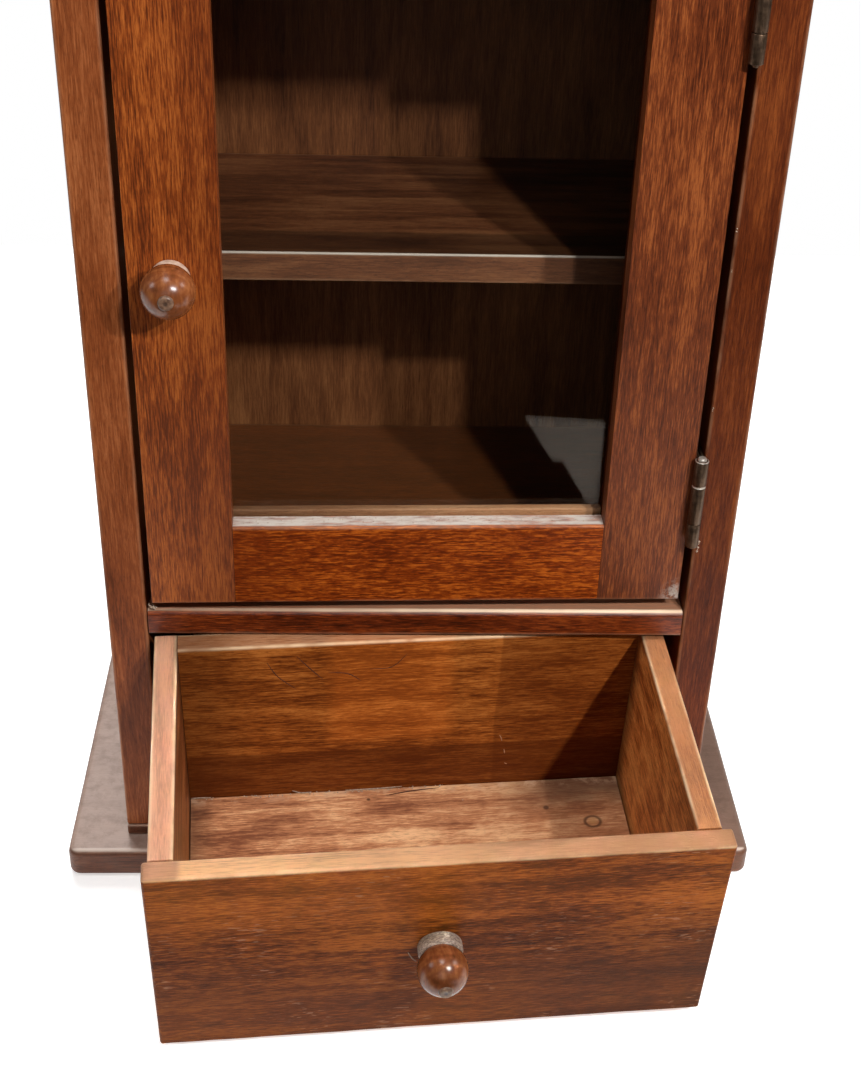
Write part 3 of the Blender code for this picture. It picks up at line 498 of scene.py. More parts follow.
def inner_floor(shader, colour, coordinates, parts, half):
    """Browner, duller top behind the door; a painted lit patch on the top in front of the door; and a pale line along
    the nose, partly dust and partly painted highlight, both brighter to the right.
    """
    below = shader.math("SUBTRACT", half[2], parts[2])
    inset = shader.math("ADD", parts[1], half[1])
    upper = shader.fade(below, 0.0003, 0.0012, 1.0, 0.0)
    inside = shader.fade(inset, 0.012, 0.018, 0.0, 0.55)
    colour = shader.blend(shader.math("MULTIPLY", upper, inside), colour, tone(126, 80, 46))
    # Pale line along the nose: partly dust, partly painted highlight
    line = shader.math("MULTIPLY", shader.fade(below, 0.0004, 0.0010, 1.0, 0.0), shader.fade(inset, 0.0024, 0.0036, 1.0, 0.0))
    # Painted light: brighter towards the right
    painted_light_rightward = shader.fade(parts[0], -0.13, 0.02, 0.25, 1.0)
    # Painted light: a lit patch on the top in front of the door
    painted_lit_top = shader.math("MULTIPLY", shader.fade(below, 0.0003, 0.0012, 0.55, 0.0), shader.fade(inset, 0.012, 0.018, 1.0, 0.0))
    colour = shader.blend(shader.math("MULTIPLY", painted_lit_top, painted_light_rightward), colour, tone(206, 156, 122))
    patchy = shader.fade(shader.noise(coordinates, 26.0, 3.0, 0.6), 0.3, 0.6, 0.6, 1.0)
    return shader.blend(shader.math("MULTIPLY", shader.math("MULTIPLY", line, patchy), painted_light_rightward), colour, tone(254, 224, 190))


def plinth_dust_and_sheen(shader, colour, coordinates, parts, half):
    """Less dust and less painted sheen on the right half of the plinth, mottled dirt, and a painted highlight line
    along the front rim.
    """
    # Less dust and less painted sheen towards the right
    less_dust_and_sheen = shader.fade(parts[0], 0.05, 0.16, 0.0, 0.6)
    colour = shader.blend(less_dust_and_sheen, colour, tone(104, 70, 50))
    dirt = shader.fade(shader.noise(coordinates, 120.0, 5.0, 0.7), 0.42, 0.7, 0.0, 0.35)
    colour = shader.blend(dirt, colour, tone(96, 72, 60))
    below = shader.math("SUBTRACT", half[2], parts[2])
    inset = shader.math("ADD", parts[1], half[1])
    # Painted highlight line along the front rim
    line = shader.math("MULTIPLY", shader.fade(below, 0.0003, 0.0009, 0.8, 0.0), shader.fade(inset, 0.0026, 0.0040, 1.0, 0.0))
    return shader.blend(line, colour, tone(226, 208, 194))


def ledge_dust(shader, colour, coordinates, parts, half):
    """Darker left end of the rail, and white dust on its ledge below the glass."""
    left_end = shader.fade(parts[0], -0.085, -0.04, 0.4, 0.0)
    colour = shader.blend(left_end, colour, tone(84, 28, 5))
    upper = shader.fade(shader.math("SUBTRACT", half[2], parts[2]), 0.0001, 0.0007, 1.0, 0.0)
    back = shader.fade(shader.math("ADD", parts[1], half[1]), 0.0008, 0.0022)
    grit = shader.noise(shader.vector("MULTIPLY", coordinates, (0.25, 1.0, 1.0)), 300.0, 5.0, 0.7)
    lying = shader.math("MULTIPLY", shader.math("MULTIPLY", upper, back), shader.fade(grit, 0.3, 0.6, 0.3, 1.0))
    return shader.blend(lying, colour, DUST)


def dark_front(shader, colour, coordinates, parts, half):
    """Darker strip along the front of the shelf, and a pale line along the top arris."""
    inset = shader.math("ADD", parts[1], half[1])
    wave = shader.math("MULTIPLY", shader.noise(coordinates, 40.0), 0.004)
    strip = shader.fade(shader.math("ADD", inset, wave), 0.026, 0.030, 0.55, 0.0)
    upper = shader.fade(shader.math("SUBTRACT", half[2], parts[2]), 0.0003, 0.0012, 1.0, 0.0)
    colour = shader.blend(shader.math("MULTIPLY", strip, upper), colour, tone(34, 22, 14))
    arris = shader.math("MULTIPLY", upper, shader.fade(inset, 0.0007, 0.0013, 0.95, 0.0))
    colour = shader.blend(arris, colour, tone(232, 214, 198))
    face = shader.math("MULTIPLY", shader.fade(inset, 0.0003, 0.0008, 0.14, 0.0), shader.math("SUBTRACT", 1.0, upper))
    return shader.blend(face, colour, tone(176, 130, 104))


def corner_scuff(shader, colour, coordinates, parts, half):
    """Duller lower half, and a whitish scuff at the lower hinge-side corner of the door."""
    dull = shader.fade(parts[2], -0.12, 0.06, 0.08, 0.0)
    colour = shader.blend(dull, colour, tone(150, 104, 84))
    away = shader.vector("DISTANCE", shader.vector("MULTIPLY", coordinates, (1.3, 0.0, 1.0)), (1.3 * half[0], 0.0, -half[2]))
    grit = shader.fade(shader.noise(coordinates, 380.0, 4.0, 0.7), 0.4, 0.62)
    scuff = shader.math("MULTIPLY", shader.fade(away, 0.004, 0.015, 0.9, 0.0), grit)
    return shader.blend(scuff, colour, tone(170, 158, 146))


def stile_tint(shader, colour, coordinates, parts, half):
    """Darker towards the glass, and duller low down."""
    inward = shader.fade(parts[0], -0.012, 0.018, 0.0, 0.35)
    colour = shader.blend(inward, colour, tone(84, 32, 9))
    dull = shader.fade(parts[2], -0.14, 0.0, 0.12, 0.0)
    return shader.blend(dull, colour, tone(150, 104, 84))


def darker_foot(shader, colour, coordinates, parts, half):
    """Darker lower board of the drawer's back, a darker right stave, a golden middle one, and a darker left end."""
    wave = shader.math("MULTIPLY", shader.noise(coordinates, 30.0), 0.003)
    middle = shader.math("MULTIPLY", shader.fade(parts[0], -0.046, -0.034), shader.fade(parts[0], 0.016, 0.026, 0.45, 0.0))
    middle = shader.math("MULTIPLY", middle, shader.fade(parts[2], -0.014, -0.004))
    colour = shader.blend(middle, colour, tone(140, 70, 20), "ADD")
    darker_left_end = shader.fade(shader.math("ADD", parts[0], half[0]), 0.008, 0.045, 0.5, 0.0)
    colour = shader.blend(darker_left_end, colour, tone(62, 26, 7))
    low_part = shader.fade(shader.math("ADD", parts[2], wave), -0.0150, -0.0138, 0.6, 0.0)
    colour = shader.blend(low_part, colour, tone(84, 36, 9))
    stave = shader.fade(shader.math("ADD", parts[0], wave), 0.046, 0.0475, 0.0, 0.4)
    return shader.blend(stave, colour, tone(92, 40, 10))


def front_fading(shader, colour, coordinates, parts, half):
    """Golden band along the top of the drawer's front, duller and greyer below, with pale short flecks."""
    wave = shader.math("MULTIPLY", shader.noise(coordinates, 16.0, 3.0), 0.05)
    height = shader.math("SUBTRACT", shader.math("ADD", parts[2], wave), 0.025)
    front = shader.fade(shader.math("ADD", parts[1], half[1]), 0.0004, 0.002, 1.0, 0.0)
    leftward = shader.fade(parts[0], -0.02, 0.06, 1.0, 0.35)
    golden = shader.math("MULTIPLY", shader.math("MULTIPLY", front, leftward), shader.fade(height, 0.0, 0.04, 0.0, 0.45))
    colour = shader.blend(golden, colour, tone(146, 80, 28), "ADD")
    dull = shader.math("MULTIPLY", front, shader.fade(height, -0.035, 0.02, 0.6, 0.0))
    colour = shader.blend(dull, colour, tone(84, 45, 25))
    right_half = shader.math("MULTIPLY", front, shader.fade(parts[0], -0.02, 0.11, 0.0, 0.42))
    right_half = shader.math("MULTIPLY", right_half, shader.fade(parts[2], 0.0, 0.03, 1.0, 0.15))
    colour = shader.blend(right_half, colour, tone(52, 25, 11))
    upper = shader.fade(shader.math("SUBTRACT", half[2], parts[2]), 0.0002, 0.0012, 1.0, 0.0)
    colour = shader.blend(shader.math("MULTIPLY", upper, shader.fade(parts[0], -0.08, 0.11, 0.0, 0.85)), colour, tone(178, 126, 93))
    end = shader.fade(shader.math("ADD", parts[0], half[0]), 0.014, 0.018, 0.6, 0.0)
    colour = shader.blend(shader.math("MULTIPLY", upper, end), colour, tone(150, 104, 86))
    dashes = shader.noise(shader.vector("MULTIPLY", coordinates, (0.16, 1.0, 1.0)), 900.0, 2.0)
    spread = shader.fade(shader.noise(coordinates, 30.0, 2.0), 0.5, 0.65)
    pale = shader.math("MULTIPLY", shader.fade(dashes, 0.6, 0.68, 0.0, 0.35), shader.math("MULTIPLY", spread, front))
    return shader.blend(pale, colour, tone(196, 150, 118))


def corner_shade_and_dirt(inner):
    """Painted shade with some dirt, low down and far back on the inner face of a drawer side; inner is the sign of that
    face.
    """

    def marks(shader, colour, coordinates, parts, half):
        wave = shader.math("MULTIPLY", shader.noise(coordinates, 60.0, 3.0, 0.6), 0.012)
        facing = shader.fade(shader.math("MULTIPLY", parts[0], inner), 0.6 * half[0], 0.95 * half[0])
        height = shader.math("ADD", shader.math("ADD", parts[2], half[2]), wave)
        # Painted shade with some dirt: darker low down and far back on the inner face
        low_shade_and_dirt = shader.fade(height, 0.020, 0.032, 0.6, 0.0)
        back_shade_and_dirt = shader.fade(shader.math("ADD", shader.math("SUBTRACT", half[1], parts[1]), wave), 0.016, 0.034, 0.65, 0.0)
        dirt = shader.math("MULTIPLY", facing, shader.math("MAXIMUM", low_shade_and_dirt, back_shade_and_dirt))
        return shader.blend(dirt, colour, tone(58, 28, 13))

    return marks


def drawer_floor_marks(shader, colour, coordinates, parts, half):
    """Knots, a painted shadow of the drawer's right side over the right end and the far right corner, a darker left
    end, and dust along the joint with the drawer's back.
    """
    wave = shader.math("MULTIPLY", shader.noise(coordinates, 60.0, 3.0, 0.6), 0.02)
    # Painted shade of the drawer's right side over the right end
    painted_shade_right_end = shader.fade(shader.math("ADD", parts[0], wave), 0.0, 0.10, 0.0, 0.42)
    colour = shader.blend(painted_shade_right_end, colour, tone(140, 86, 52))
    darker_left_end = shader.fade(shader.math("ADD", shader.math("ADD", parts[0], half[0]), wave), 0.009, 0.026, 0.55, 0.0)
    colour = shader.blend(darker_left_end, colour, tone(62, 34, 20))
    # Painted shadow of the right side in the far right corner
    painted_shadow_far_corner = shader.fade(shader.math("SUBTRACT", half[1], shader.math("SUBTRACT", parts[1], wave)), 0.016, 0.040, 0.75, 0.0)
    painted_shadow_far_corner = shader.math("MULTIPLY", painted_shadow_far_corner, shader.fade(parts[0], 0.035, 0.085))
    colour = shader.blend(painted_shadow_far_corner, colour, tone(72, 40, 26))
    flat = shader.vector("MULTIPLY", coordinates, (1.0, 1.15, 0.0))
    ring = shader.vector("DISTANCE", flat, KNOT_AT)
    band = shader.math("MULTIPLY", shader.fade(ring, 0.0028, 0.0038), shader.fade(ring, 0.0042, 0.0056, 1.0, 0.0))
    colour = shader.blend(shader.math("MULTIPLY", band, 0.75), colour, tone(70, 38, 18))
    colour = shader.blend(shader.fade(ring, 0.0012, 0.0036, 0.5, 0.0), colour, tone(190, 140, 84))
    for place, size in SMALL_KNOTS:
        spot = shader.fade(shader.vector("DISTANCE", flat, place), 0.4 * size, size, 0.8, 0.0)
        colour = shader.blend(spot, colour, tone(60, 30, 14))
    behind = shader.fade(shader.math("SUBTRACT", half[1], parts[1]), 0.001, 0.0075, 1.0, 0.0)
    grit = shader.fade(shader.noise(coordinates, 130.0, 4.0, 0.65), 0.46, 0.62)
    return shader.blend(shader.math("MULTIPLY", shader.math("MULTIPLY", behind, grit), 0.45), colour, tone(206, 168, 136))


def slab_shape(form, half):
    """Wide board with rounded front corners and rounded rims."""
    bevel(form, axis_edges(form, "Z", lambda middle: middle.y < 0), 0.006, 8)
    rims = [edge for edge in form.edges if abs(edge.verts[0].co.z - edge.verts[1].co.z) < 1e-7]
    bevel(form, rims, 0.0032, 5)


def round_all(form, half):
    bevel(form, form.edges[:], 0.0014, 4)


def stile_shape(inner):
    """Rounded outer edges and ends, and a crisp edge towards the glass; inner is the sign of that side."""

    def shape(form, half):
        bevel(form, axis_edges(form, "X"), 0.0010, 3)
        bevel(form, axis_edges(form, "Z", lambda middle: middle.x * inner < 0), 0.0012, 4)
        bevel(form, axis_edges(form, "Z", lambda middle: middle.x * inner > 0.99 * half.x), 0.0002, 2)

    return shape


def nose_shape(sign):
    def shape(form, half):
        nose = axis_edges(form, "X", lambda middle: middle.y < 0 and middle.z * sign > 0)
        bevel(form, nose, 0.0030, 6)
        rest = axis_edges(form, "X", lambda middle: middle.y < 0 and middle.z * sign < -0.9 * half.z)
        bevel(form, rest, 0.0008, 3)

    return shape


# Carcase
for node, look, marks in (("plinth", PLINTH_LOOK, plinth_dust_and_sheen), ("top_board", TOP_LOOK, None)):
    finish_board(board(node, "carcase", "X", look, 0.003, 0.00025, slab_shape, marks=marks), "carcase")
for side in ("left", "right"):
    finish_board(board(side + "_foot", "carcase", "Y", PLINTH_LOOK, 0.0008, 0.0002), "carcase")
    look = LEFT_LOOK if side == "left" else RIGHT_LOOK
    finish_board(board(side + "_side", "carcase", "Z", look, 0.0012, 0.0003), "carcase")
finish_board(
    board("cabinet_floor", "carcase", "X", EDGE_LOOK, 0.004, 0.00025, nose_shape(1), marks=inner_floor),
    "carcase",
)
finish_board(board("carcase_lid", "carcase", "X", EDGE_LOOK, 0.004, 0.00025, nose_shape(-1)), "carcase")
finish_board(board("shelf", "carcase", "X", SHELF_LOOK, 0.0009, 0.0002, marks=dark_front), "carcase")

# Door frame: stiles and rails with the step that takes the glass
pane_low, pane_high = local_box("glass_pane", "door")
MARGIN = Vector((0.0006, 0.0, 0.0006))
JOINT = 0.00006
step_low = pane_low - MARGIN - Vector((0.0, 0.0003, 0.0))
step_high = pane_high + MARGIN + Vector((0.0, 0.02, 0.0))
stile_low, stile_high = local_box("left_stile", "door")
other_low, other_high = local_box("right_stile", "door")
for node, grain, look, shape, marks in (
    ("left_stile", "Z", LEFT_STILE_LOOK, stile_shape(1), stile_tint),
    ("right_stile", "Z", RIGHT_STILE_LOOK, stile_shape(-1), corner_scuff),
    ("top_rail", "X", RAIL_LOOK, None, None),
    ("bottom_rail", "X", RAIL_LOOK, None, ledge_dust),
):
    low, high = local_box(node, "door")
    if grain == "X":
        low.x = stile_high.x + JOINT
        high.x = other_low.x - JOINT
    piece = board(node, "door", grain, look, 0.0012, 0.0001, shape, (low, high), marks)
    step = block((step_high - step_low) / 2)
    carve(piece, step, FRAMES["door"] @ Matrix.Translation((step_low + step_high) / 2))
    finish_board(piece, "door")

# Bead below the glass, standing a little proud of the ledge
low, high = local_box("bottom_bead", "door")
BEAD_PROUD = 0.0022
high.z += BEAD_PROUD
finish_board(board("bottom_bead", "door", "X", BEAD_LOOK, 0.0009, 0.0002, None, (low, high)), "door")

# Drawer
finish_board(
    board("drawer_front", "drawer", "X", FRONT_LOOK, 0.0014, 0.0004, round_all, marks=front_fading),
    "drawer",
)
front_face = local_box("drawer_front", "drawer")[1].y
side_faces = {}
for side in ("left", "right"):
    low, high = local_box(f"drawer_{side}_side", "drawer")
    side_faces[side] = (low.x, high.x)
    low.y = front_face + JOINT
    look, inner = (BOX_LOOK, 1.0) if side == "left" else (RIGHT_BOX_LOOK, -1.0)
    marks = corner_shade_and_dirt(inner)
    piece = board(f"drawer_{side}_side", "drawer", "Y", look, 0.0009, 0.0003, None, (low, high), marks)
    finish_board(piece, "drawer")
low, high = local_box("drawer_back", "drawer")
low.x = side_faces["left"][1] + JOINT
high.x = side_faces["right"][0] - JOINT
piece = board("drawer_back", "drawer", "X", LINER_LOOK, 0.0009, 0.0003, None, (low, high), darker_foot)
finish_board(piece, "drawer")
low, high = local_box("drawer_bottom", "drawer")
centre = (low + high) / 2
KNOT_AT = (0.0938 - centre.x, 1.15 * (0.0160 - centre.y), 0.0)
SMALL_KNOTS = (
    ((0.0706 - centre.x, 1.15 * (0.0271 - centre.y), 0.0), 0.0022),
    ((-0.0228 - centre.x, 1.15 * (0.0394 - centre.y), 0.0), 0.0014),
)
finish_board(
    board("drawer_bottom", "drawer", "X", BOARD_LOOK, 0.0004, 0.0001, marks=drawer_floor_marks), "drawer",
)


# Turned pieces
def lathe(name, profile, steps, place, materials, bands):
    """Turn (radius, distance, band) points about local Z; a band is an index of a material."""
    form = bmesh.new()
    rings = []
    for radius, distance in profile:
        count = steps if radius > 1e-7 else 1
        ring = []
        for k in range(count):
            angle = 2 * math.pi * k / steps
            ring.append(form.verts.new((radius * math.cos(angle), radius * math.sin(angle), distance)))
        rings.append(ring)
    for near, far, band in zip(rings, rings[1:], bands):
        for k in range(steps):
            nxt = (k + 1) % steps
            quad = [near[k % len(near)], near[nxt % len(near)], far[nxt % len(far)], far[k % len(far)]]
            face = form.faces.new(list(dict.fromkeys(quad)))
            face.material_index = band
    piece = make_object(name, form, place, materials[0])
    for material in materials[1:]:
        piece.data.materials.append(material)
    piece.data.set_sharp_from_angle(angle=math.radians(40.0))
    return piece


def knob_ball():
    """Turned wood with soft rings under old varnish."""
    shader = Shader("knob_ball")
    coordinates, parts = shader.places()
    ring = shader.noise(shader.vector("MULTIPLY", coordinates, (0.3, 0.3, 1.0)), 420.0, 2.0, 0.5, 0.5)
    streak = shader.noise(shader.vector("MULTIPLY", coordinates, (1.0, 0.3, 0.4)), 420.0, 4.0, 0.62, 0.5)
    value = shader.math("ADD", shader.math("MULTIPLY", ring, 0.4), shader.math("MULTIPLY", streak, 0.6))
    colour = shader.ramp(value, ((0.3, tone(88, 44, 20)), (0.5, tone(126, 68, 34)), (0.72, tone(166, 103, 58))))
    lower = shader.fade(parts[2], 0.018, 0.026, 0.0, 0.3)
    colour = shader.blend(lower, colour, tone(84, 46, 24))
    shader.set(Base_Color=colour, Roughness=shader.fade(streak, 0.3, 0.7, 0.23, 0.265))
    shader.surface.inputs["Specular IOR Level"].default_value = 0.4
    shader.bump(streak, 0.0001, 0.15)
    return shader.material


def knob_collar():
    """Dusty collar, grey-brown with pale grime."""
    shader = Shader("knob_collar")
    coordinates, parts = shader.places()
    grit = shader.noise(shader.vector("MULTIPLY", coordinates, (0.5, 0.5, 1.6)), 1100.0, 4.0, 0.7, 0.6)
    colour = shader.ramp(grit, ((0.34, tone(92, 70, 56)), (0.5, tone(146, 124, 106)), (0.68, tone(200, 180, 162))))
    shader.set(Base_Color=colour, Roughness=shader.fade(grit, 0.3, 0.7, 0.55, 0.8))
    shader.bump(grit, 0.0001, 0.3)
    return shader.material


def knob_tip():
    """Dull blunt tip with a dark middle."""
    shader = Shader("knob_tip")
    coordinates, parts = shader.places()
    grit = shader.noise(coordinates, 700.0, 3.0, 0.6)
    off_axis = shader.vector("LENGTH", shader.vector("MULTIPLY", coordinates, (1.0, 1.0, 0.0)), (0.0, 0.0, 0.0))
    colour = shader.ramp(grit, ((0.3, tone(80, 55, 41)), (0.7, tone(132, 100, 78))))
    colour = shader.blend(shader.fade(off_axis, 0.0004, 0.0014, 0.7, 0.0), colour, tone(36, 22, 15))
    shader.set(Base_Color=colour, Roughness=shader.fade(grit, 0.3, 0.7, 0.3, 0.5))
    shader.bump(grit, 0.0001, 0.4)
    return shader.material


def knob_cream():
    """Smooth cream-coloured collar."""
    shader = Shader("knob_cream")
    coordinates, parts = shader.places()
    grit = shader.noise(coordinates, 320.0, 3.0, 0.6)
    colour = shader.ramp(grit, ((0.3, tone(176, 144, 122)), (0.7, tone(216, 190, 170))))
    shader.set(Base_Color=colour, Roughness=shader.fade(grit, 0.3, 0.7, 0.4, 0.6))
    shader.bump(grit, 0.0001, 0.2)
    return shader.material


ball_varnish = knob_ball()
tip_dull = knob_tip()
KNOB_TURN = Matrix.Rotation(math.radians(90.0), 4, "X")


def knob(node, body, collar, collar_material):
    low, high = local_box(node, body)
    length = high.y - low.y
    radius = (high.x - low.x) / 2
    collar_end, neck = 0.0055, 0.0086
    profile = [(0.0021, 0.0), (collar - 0.0005, 0.0), (collar - 0.0001, 0.0003), (collar, 0.0008)]
    profile += [(collar, collar_end - 0.0011), (collar - 0.0003, collar_end - 0.0004), (collar - 0.001, collar_end)]
    bands = [1] * len(profile)
    start = math.asin(neck / radius)
    centre = collar_end + 0.0004 + radius * math.cos(start)
    tip_radius = 0.0037
    finish = math.pi - math.asin(tip_radius / radius)
    count = 30
    for k in range(count + 1):
        angle = start + (finish - start) * k / count
        profile.append((radius * math.sin(angle), centre - radius * math.cos(angle)))
        bands.append(0)
    end = profile[-1][1]
    profile += [(0.0034, end + 0.00005), (0.0032, end + 0.0003), (0.0032, length - 0.0005), (0.0029, length - 0.00015)]
    profile += [(0.0024, length), (0.0010, length - 0.0001), (0.0, length - 0.0002)]
    bands += [2] * 6
    place = FRAMES[body] @ Matrix.Translation(((low.x + high.x) / 2, high.y, (low.z + high.z) / 2)) @ KNOB_TURN
    piece = lathe(node + "_turning", profile, 72, place, [ball_varnish, collar_material, tip_dull], bands)
    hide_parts(node)
    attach(piece, body)


knob("door_knob", "door", 0.0088, knob_cream())
knob("drawer_knob", "drawer", 0.0102, knob_collar())


# Metals
def metal_shader(name, dark, light, rough):
    """Metal with clouds of tarnish and fine drawing lines."""
    shader = Shader(name)
    coordinates, parts = shader.places()
    cloud = shader.noise(coordinates, 420.0, 3.0, 0.6)
    drawn = shader.noise(shader.vector("MULTIPLY", coordinates, (1.0, 1.0, 0.15)), 1400.0, 2.0, 0.6)
    value = shader.math("ADD", shader.math("MULTIPLY", cloud, 0.6), shader.math("MULTIPLY", drawn, 0.4))
    colour = shader.ramp(value, ((0.3, dark), (0.68, light)))
    shader.set(Base_Color=colour, Roughness=shader.fade(value, 0.3, 0.7, rough, rough + 0.2))
    shader.surface.inputs["Metallic"].default_value = 0.85
    shader.bump(drawn, 0.00008, 0.4)
    return shader.material


bronze = metal_shader("dark_bronze", tone(66, 50, 38), tone(108, 85, 66), 0.3)
bright_bronze = metal_shader("worn_bronze", tone(206, 192, 176), tone(248, 240, 228), 0.3)
steel = metal_shader("plain_steel", tone(140, 138, 134), tone(190, 188, 184), 0.3)

# Hinges: leaves with screw holes, knuckles with rubbed ends, headed pins
KNUCKLE = 0.0032
BORE = 0.0016
CHAMFER = 0.0004
PLATE_NEAR = 0.0003
PLATE_FAR = 0.0015
LOWER_KNUCKLE = 0.0125
UPPER_KNUCKLE = 0.0133
KNUCKLE_GAP = 0.0002


def add_block(form, low, high):
    size = Vector(high) - Vector(low)
    middle = (Vector(high) + Vector(low)) / 2
    bmesh.ops.create_cube(form, size=1.0, matrix=Matrix.Translation(middle) @ Matrix.Diagonal((*size, 1.0)))


def hinge_leaf(node, body, sign, rolls, screws):
    """One leaf: plate with webs to its knuckles, cut for its screws."""
    low, high = local_box(node, body)
    middle = (low.z + high.z) / 2
    sides = sorted((HINGE_AT.x + sign * PLATE_NEAR, HINGE_AT.x + sign * PLATE_FAR))
    form = bmesh.new()
    inner = HINGE_AT.y + KNUCKLE + KNUCKLE_GAP
    add_block(form, (sides[0], inner, low.z), (sides[1], high.y, high.z))
    bevel(form, axis_edges(form, "YZ"), 0.0002, 2)
    plate = make_object(node + "_plate", form, FRAMES[body], bronze)
    for screw in screws:
        near, far = local_box(screw, body)
        hole = bmesh.new()
        radius = (far.z - near.z) / 2 + 0.00005
        bmesh.ops.create_cone(hole, segments=40, cap_ends=True, radius1=radius, radius2=radius, depth=0.006)
        spot = Matrix.Translation((HINGE_AT.x + sign * PLATE_FAR, (near.y + far.y) / 2, (near.z + far.z) / 2))
        carve(plate, hole, FRAMES[body] @ spot @ Matrix.Rotation(math.radians(90.0), 4, "Y"))
    settle_normals(plate)
    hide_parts(node)
    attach(plate, body)
    for number, (start, end) in enumerate(rolls, 1):
        web = bmesh.new()
        add_block(web, (sides[0], HINGE_AT.y + 0.002, start), (sides[1], inner + 0.0004, end))
        bevel(web, axis_edges(web, "Y"), 0.0002, 2)
        strap = make_object(f"{node}_web_{number}", web, FRAMES[body], bronze)
        settle_normals(strap)
        roll = [(BORE, start), (KNUCKLE - CHAMFER, start), (KNUCKLE - 0.0001, start + 0.00015), (KNUCKLE, start + CHAMFER)]
        roll += [(KNUCKLE, end - CHAMFER), (KNUCKLE - 0.0001, end - 0.00015), (KNUCKLE - CHAMFER, end), (BORE, end), (BORE, start)]
        at = FRAMES[body] @ Matrix.Translation((HINGE_AT.x, HINGE_AT.y, 0.0))
        ends = [int(start > middle), int(end > middle)]
        bands = [0, ends[0], ends[0], 0, ends[1], ends[1], 0, 0]
        tube = lathe(f"{node}_knuckle_{number}", roll, 64, at, [bronze, bright_bronze], bands)
        for part in (strap, tube):
            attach(part, body)


for place in ("lower", "upper"):
    low, high = local_box(place + "_frame_leaf", "carcase")
    joint_low = low.z + LOWER_KNUCKLE
    joint_high = high.z - UPPER_KNUCKLE
    frame_rolls = ((low.z, joint_low), (joint_high, high.z))
    door_rolls = ((joint_low + KNUCKLE_GAP, joint_high - KNUCKLE_GAP),)
    for side, body, sign, rolls in (("frame", "carcase", 1, frame_rolls), ("door", "door", -1, door_rolls)):
        screws = [f"{place}_{side}_screw_{k}" for k in (1, 2)]
        hinge_leaf(f"{place}_{side}_leaf", body, sign, rolls, screws)
    pin_low, pin_high = local_box(place + "_hinge_pin", "carcase")
    pin = [(0.0, pin_low.z), (0.0012, pin_low.z), (0.0014, pin_low.z + 0.0003), (0.0014, high.z)]
    pin += [(0.0021, high.z + 0.0001), (0.0021, high.z + 0.0005), (0.0017, pin_high.z - 0.0001), (0.0009, pin_high.z)]
    pin += [(0.0, pin_high.z)]
    at = Matrix.Translation((HINGE_AT.x, HINGE_AT.y, 0.0))
    piece = lathe(place + "_hinge_pin_turning", pin, 40, at, [bronze, bright_bronze], [0, 0, 0, 1, 1, 1, 1, 1])
    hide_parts(place + "_hinge_pin")
    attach(piece, "carcase")


# Marks, dust and fluff
def grit_shader(name, low, high, rough):
    shader = Shader(name)
    coordinates, parts = shader.places()
    grit = shader.noise(coordinates, 900.0, 3.0, 0.6)
    shader.set(Base_Color=shader.ramp(grit, ((0.3, low), (0.7, high))), Roughness=shader.fade(grit, 0.3, 0.7, rough, 0.95))
    return shader.material


scratch_dark = grit_shader("scratch_dark", tone(58, 24, 8), tone(90, 42, 15), 0.7)
drip_pale = grit_shader("drip_pale", tone(150, 100, 66), tone(190, 142, 104), 0.5)
fluff_pale = grit_shader("fluff_pale", tone(146, 122, 102), tone(204, 182, 160), 0.9)


def smooth_line(points, steps=6):
    """Points of a smooth line through the given points."""
    line = []
    ends = [points[0]] + list(points) + [points[-1]]
    for a, b, c, d in zip(ends, ends[1:], ends[2:], ends[3:]):
        a, b, c, d = Vector(a), Vector(b), Vector(c), Vector(d)
        for k in range(steps):
            t = k / steps
            line.append(0.5 * (2 * b + (c - a) * t + (2 * a - 5 * b + 4 * c - d) * t**2 + (3 * b - a - 3 * c + d) * t**3))
    line.append(Vector(points[-1]))
    return line


def stroke(name, points, width, normal, body, material, proud=0.00012):
    """A thin tapered sliver that lies on a surface; points are in shut coordinates."""
    line = smooth_line(points)
    normal = Vector(normal)
    form = bmesh.new()
    rings = []
    for k, point in enumerate(line):
        ahead = (line[min(k + 1, len(line) - 1)] - line[max(k - 1, 0)]).normalized()
        share = math.sin(math.pi * k / (len(line) - 1))
        side = ahead.cross(normal).normalized() * width / 2 * (0.25 + 0.75 * share)
        under = point - normal * 0.00005
        rings.append([form.verts.new(spot) for spot in (under + side, point + normal * proud, under - side)])
    for near, far in zip(rings, rings[1:]):
        for k in range(3):
            form.faces.new((near[k], near[(k + 1) % 3], far[(k + 1) % 3], far[k]))
    form.faces.new(rings[0])
    form.faces.new(rings[-1])
    piece = make_object(name, form, FRAMES[body], material)
    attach(piece, body)


def crumbs(name, start, end, count, spread, size, body, material, seed):
    """Small irregular crumbs strewn along a line."""
    chance = random.Random(seed)
    form = bmesh.new()
    for _ in range(count):
        point = Vector(start).lerp(Vector(end), chance.random())
        point += Vector([chance.uniform(-reach, reach) for reach in spread])
        grown = size * chance.uniform(0.4, 1.0)
        flat = Matrix.Diagonal((chance.uniform(0.7, 1.5), chance.uniform(0.7, 1.3), chance.uniform(0.4, 0.8), 1.0))
        turned = Matrix.Rotation(chance.uniform(0.0, 6.28), 4, "Z") @ flat
        bmesh.ops.create_icosphere(form, subdivisions=1, radius=grown, matrix=Matrix.Translation(point) @ turned)
    for vertex in form.verts:
        vertex.co += Vector(noise.noise_vector(vertex.co * 1800.0)) * size * 0.25
    piece = make_object(name, form, FRAMES[body], material)
    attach(piece, body)


